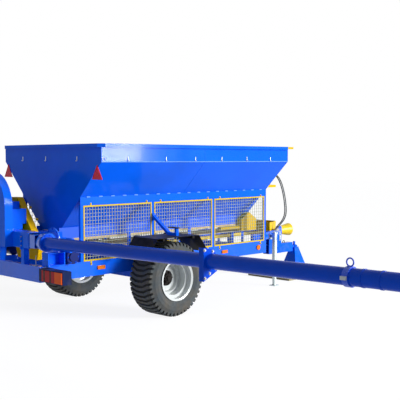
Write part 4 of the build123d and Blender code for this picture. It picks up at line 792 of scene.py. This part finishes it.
class SPREADER_OT_pipe_bolts(bpy.types.Operator):
    """Bolt up the booms, elbows, air duct, fan and motors"""

    bl_idname = "spreader.pipe_bolts"
    bl_label = "Pipe and fan bolts"

    def execute(self, context):
        eighths, sixths = np.arange(0, 360, 45), np.arange(0, 360, 60)
        still, dark = [], []
        for side, sign in SIDES:
            way = (0, sign, 0)
            clamp = []
            for out, facing in CLAMP_FACES:
                height = BOOM_HEIGHT_AT_ROOT + BOOM_RISE * out
                axis = np.array([0, sign * facing, facing * BOOM_RISE])
                axis /= np.linalg.norm(axis)
                for along, up in CLAMP_BOLTS:
                    spot = (BOOM_LINE_X + along, sign * (out - BOOM_RISE * up), height + up)
                    clamp += bolt(spot, axis, X, CLAMP_HEAD)
            root = (BOOM_LINE_X, sign * FLANGE_OUT, BOOM_HEIGHT_AT_ROOT + BOOM_RISE * FLANGE_OUT)
            flange = bolts_round(root, way, X, FLANGE_RING, eighths + 22.5, FLANGE_HEAD)
            add_piece(f"boom_bolts_{side}", *join_shapes(clamp), f"boom_{side}", "bare_steel")
            add_piece(f"flange_bolts_{side}", *join_shapes(flange), f"boom_{side}", "boom_paint")

            mirror = np.array([1, sign, 1])
            elbow, motor = mirror * ELBOW_PLACE, mirror * MOTOR_PLACE
            dark += bolts_round(elbow, REARWARD, Y, ELBOW_RING, -eighths[:5], ELBOW_HEAD)
            dark += bolts_round(motor, way, X, MOTOR_RING, sixths, FLANGE_HEAD)
            for height in DUCT_BOLT_HEIGHTS:
                still += bolt(mirror * (*DUCT_BOLT_PLACE, height), way, X, DUCT_HEAD)
        inlet = (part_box("fan_plate")[0].x + 0.02, INLET_OUT, INLET_HEIGHT)
        still += bolts_round(inlet, REARWARD, Y, INLET_RING, eighths, ELBOW_HEAD)
        add_piece("fan_bolts", *join_shapes(still), "chassis", "bare_steel")
        add_piece("pipe_bolts", *join_shapes(dark), "chassis", "boom_paint")
        return {"FINISHED"}


class SPREADER_OT_guard_bolts(bpy.types.Operator):
    """Fix the mesh guards with a bolt through each tab"""

    bl_idname = "spreader.guard_bolts"
    bl_label = "Guard bolts"

    def execute(self, context):
        heights = (guard_top + 0.02, guard_bottom - 0.04)
        shapes = []
        for sign in SIGNS:
            for bay in range(GUARD_BAYS):
                start = guard_low.x + bay * (guard_width + GUARD_GAP)
                for place in (start + 0.1 * guard_width, start + 0.92 * guard_width):
                    for height in heights:
                        spot = (place, sign * guard_high.y, height)
                        shapes += bolt(spot, (0, sign, 0), X, GUARD_HEAD)
        add_piece("guard_bolts", *join_shapes(shapes), "chassis", "yellow_paint")
        return {"FINISHED"}


class SPREADER_OT_jack_crank(bpy.types.Operator):
    """Fit the crank on the parking jack's head: a bent rod, a turned grip and a turned boss"""

    bl_idname = "spreader.jack_crank"
    bl_label = "Jack crank"

    def execute(self, context):
        middle = np.array([1.73, -0.62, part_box("jack_tube")[1].z])
        away = np.array([0.704, -0.71, 0.0])
        bends = (
            (0, -0.004),
            (0, 0.016),
            (0.008, 0.024),
            (0.085, 0.024),
            (0.093, 0.016),
            (0.093, -0.14),
        )
        path = [middle + out * away + (0, 0, up) for out, up in bends]
        grip = [
            (0, 0.007),
            (0, 0.012),
            (0.008, 0.014),
            (0.085, 0.014),
            (0.093, 0.011),
            (0.093, 0.007),
        ]
        boss = [(0, 0.012), (0, 0.028), (0.008, 0.03), (0.012, 0.024), (0.012, 0.01)]
        shapes = [
            rod(path, 0.008, 10),
            turned(grip, path[-1] - (0, 0, 0.006), Z, X, 14),
            turned(boss, middle, Z, X, 20),
        ]
        add_piece("jack_crank", *join_shapes(shapes), "chassis", "galvanised")
        return {"FINISHED"}


class SPREADER_OT_hitch_pin(bpy.types.Operator):
    """Stand the collared pin in the hitch and hang a shackle on the beam"""

    bl_idname = "spreader.hitch_pin"
    bl_label = "Hitch pin"

    def execute(self, context):
        low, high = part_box("hitch_eye")
        foot = (high.x - 0.062, 0.0, low.z - 0.02)
        radius, length = 0.0225, 0.13
        stem = [
            (0, 0.012),
            (0, 0.02),
            (0.004, radius),
            (0.122, radius),
            (length, 0.018),
            (length, 0.008),
        ]
        collar = [(0.056, radius), (0.056, 0.042), (0.06, 0.044), (0.064, 0.042), (0.064, radius)]
        shapes = [turned(part, foot, Z, X, 24) for part in (stem, collar)]
        add_piece("hitch_pin", *join_shapes(shapes), "chassis", "blue_paint")

        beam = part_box("drawbar")[0].z + 0.175
        along, beside, wire = 2.707, -0.05, 0.006
        half_width, rise, leg = 0.028, 0.03, 0.02
        turn = np.linspace(0, np.pi, 13)
        x = along + half_width * np.cos(turn)
        z = beam + leg + rise * np.sin(turn)
        arch = np.stack([x, np.full_like(turn, beside), z], -1)
        down = (0, 0, leg + 0.002)
        bow = np.concatenate([[arch[0] - down], arch, [arch[-1] - down]])
        add_piece("shackle", *rod(bow, wire), "chassis", "black_paint")
        return {"FINISHED"}


class SPREADER_OT_tail_fittings(bpy.types.Operator):
    """Add the flag plate on the tail beam, the belt cover's tabs and the shaft's upper guard"""

    bl_idname = "spreader.tail_fittings"
    bl_label = "Tail fittings"

    def execute(self, context):
        plate = [(0, 0.001), (0, 0.05), (0.004, 0.052), (0.006, 0.05), (0.006, 0.001)]
        shapes = [
            turned(plate, (-3.185, -0.56, 0.84), Z, (0.7071, 0.7071, 0), 4),
            rod([(-3.175, -0.545, 0.842), (-3.175, -0.545, 0.972)], 0.005),
        ]
        add_piece("flag_plate", *join_shapes(shapes), "chassis", "silver_paint")

        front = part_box("belt_cover")[1].x
        tabs = []
        for y, z in ((0.156, 1.565), (-0.004, 1.404), (0.37, 1.244)):
            tabs += bolt((front, y, z), X, Y, COVER_TAB)
        add_piece("cover_tabs", *join_shapes(tabs), "chassis", "yellow_paint")

        low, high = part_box("drive_cover")
        length, radius, bore = 0.5, 0.028, 0.02
        pipe = [(0, bore), (0, radius), (length, radius), (length, bore)]
        start = (low.x - length, (low.y + high.y) / 2, 1.065)
        guard = turned(pipe, start, X, Y, 20)
        add_piece("upper_shaft_guard", *guard, "chassis", "yellow_paint")
        return {"FINISHED"}


class SPREADER_OT_reflector_frames(bpy.types.Operator):
    """Edge the rear reflectors with a raised frame: a rod along each side of the triangle"""

    bl_idname = "spreader.reflector_frames"
    bl_label = "Reflector frames"

    def execute(self, context):
        low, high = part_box("rear_reflectors")
        half, foot, top = 0.104, low.z + 0.006, high.z - 0.012
        corners = ((REFLECTOR_OUT - half, foot), (REFLECTOR_OUT + half, foot), (REFLECTOR_OUT, top))
        shapes = []
        for sign in SIGNS:
            spots = [(low.x, sign * y, z) for y, z in corners]
            shapes += [rod([spots[i], spots[(i + 1) % 3]], 0.005) for i in range(3)]
        add_piece("reflector_frames", *join_shapes(shapes), "chassis", "reflector_plastic")
        return {"FINISHED"}


def seen_rays(tree):
    """1 on rays from the camera, off gloss and through glass, and 0 on all others."""
    rays = tree.nodes.new("ShaderNodeLightPath").outputs
    share = rays["Is Camera Ray"]
    for name in ("Is Glossy Ray", "Is Transmission Ray"):
        larger = tree.nodes.new("ShaderNodeMath")
        larger.operation = "MAXIMUM"
        tree.links.new(share, larger.inputs[0])
        tree.links.new(rays[name], larger.inputs[1])
        share = larger.outputs["Value"]
    return share


def mix_shaders(tree, share, first, second, end):
    """Puts a mix of two shaders on a tree's output."""
    choice = tree.nodes.new("ShaderNodeMixShader")
    tree.links.new(share, choice.inputs["Fac"])
    tree.links.new(first, choice.inputs[1])
    tree.links.new(second, choice.inputs[2])
    tree.links.new(choice.outputs["Shader"], tree.nodes[end].inputs["Surface"])


class SPREADER_OT_stage(bpy.types.Operator):
    """Set the pale floor, the soft light and the camera"""

    bl_idname = "spreader.stage"
    bl_label = "Stage"

    def execute(self, context):
        scene = context.scene
        scene.view_settings.view_transform = "Standard"
        world = bpy.data.worlds.new("studio")
        scene.world = world
        world.use_nodes = True
        tree = world.node_tree
        dim = tree.nodes["Background"]
        dim.inputs["Color"].default_value = WORLD_TINT
        dim.inputs["Strength"].default_value = 0.24
        white = tree.nodes.new("ShaderNodeBackground")
        white.inputs["Color"].default_value = (1, 1, 1, 1)
        shaders = (dim.outputs["Background"], white.outputs["Background"])
        mix_shaders(tree, seen_rays(tree), *shaders, "World Output")

        span = np.linspace(-FLOOR_HALF, FLOOR_HALF, 5)
        across, along = np.meshgrid(span, span, indexing="ij")
        points = np.stack([across, along, np.full_like(across, -FLOOR_DROP)], -1)
        mesh = bpy.data.meshes.new("floor")
        mesh.from_pydata(points.reshape(-1, 3).tolist(), [], grid_faces(5, 5)[:, ::-1].tolist())
        floor = bpy.data.objects.new("floor", mesh)
        scene.collection.objects.link(floor)
        s = Shades("floor")
        s.hold("Roughness", 0.9)
        s.hold("Specular IOR Level", 0.0)
        s.hold("Base Color", (0.8, 0.8, 0.8, 1))
        glow = s.add("ShaderNodeEmission", {"Strength": 1.25})
        share = s.math("MULTIPLY", seen_rays(s.tree), 0.7)
        shaders = (s.shader.outputs["BSDF"], glow.outputs["Emission"])
        mix_shaders(s.tree, share, *shaders, "Material Output")
        mesh.materials.append(s.material)

        for name, kind, power, size, spot, target in LAMPS:
            lamp = bpy.data.lights.new(name, kind)
            lamp.energy = power
            if kind == "SUN":
                lamp.angle = size
            else:
                lamp.shape = "RECTANGLE"
                lamp.size, lamp.size_y = size
            holder = bpy.data.objects.new(name, lamp)
            scene.collection.objects.link(holder)
            holder.rotation_mode = "QUATERNION"
            holder.location = spot
            holder.rotation_quaternion = (Vector(target) - Vector(spot)).to_track_quat("-Z", "Y")

        camera = bpy.data.cameras.new("camera")
        camera.sensor_width = 36
        camera.lens = CAMERA_LENS
        camera.clip_end = 200
        holder = bpy.data.objects.new("camera", camera)
        scene.collection.objects.link(holder)
        holder.location = CAMERA_PLACE
        holder.rotation_euler = [math.radians(angle) for angle in CAMERA_TURN]
        scene.camera = holder
        return {"FINISHED"}


steps = (
    SPREADER_OT_stage,
    SPREADER_OT_finishes,
    SPREADER_OT_hoses,
    SPREADER_OT_hooks,
    SPREADER_OT_wheel_nuts,
    SPREADER_OT_seams,
    SPREADER_OT_rings,
    SPREADER_OT_pipe_bolts,
    SPREADER_OT_guard_bolts,
    SPREADER_OT_jack_crank,
    SPREADER_OT_hitch_pin,
    SPREADER_OT_tail_fittings,
    SPREADER_OT_reflector_frames,
)


class SPREADER_PT_panel(bpy.types.Panel):
    """List of the spreader's pieces"""

    bl_idname = "SPREADER_PT_panel"
    bl_label = "Lime spreader"
    bl_space_type = "VIEW_3D"
    bl_region_type = "UI"
    bl_category = "Spreader"

    def draw(self, context):
        for step in steps:
            self.layout.operator(step.bl_idname)


classes = (PaintSettings, FittingSettings, *steps, SPREADER_PT_panel)


def register():
    """Adds the settings, the operators and the panel."""
    for cls in classes:
        bpy.utils.register_class(cls)
    bpy.types.Scene.spreader_paint = PointerProperty(type=PaintSettings)
    bpy.types.Scene.spreader_fittings = PointerProperty(type=FittingSettings)


def unregister():
    """Takes them out again."""
    del bpy.types.Scene.spreader_fittings
    del bpy.types.Scene.spreader_paint
    for cls in reversed(classes):
        bpy.utils.unregister_class(cls)


def main():
    """Runs every operator in turn."""
    register()
    for step in steps:
        group, name = step.bl_idname.split(".")
        getattr(getattr(bpy.ops, group), name)()


if __name__ == "__main__":
    main()
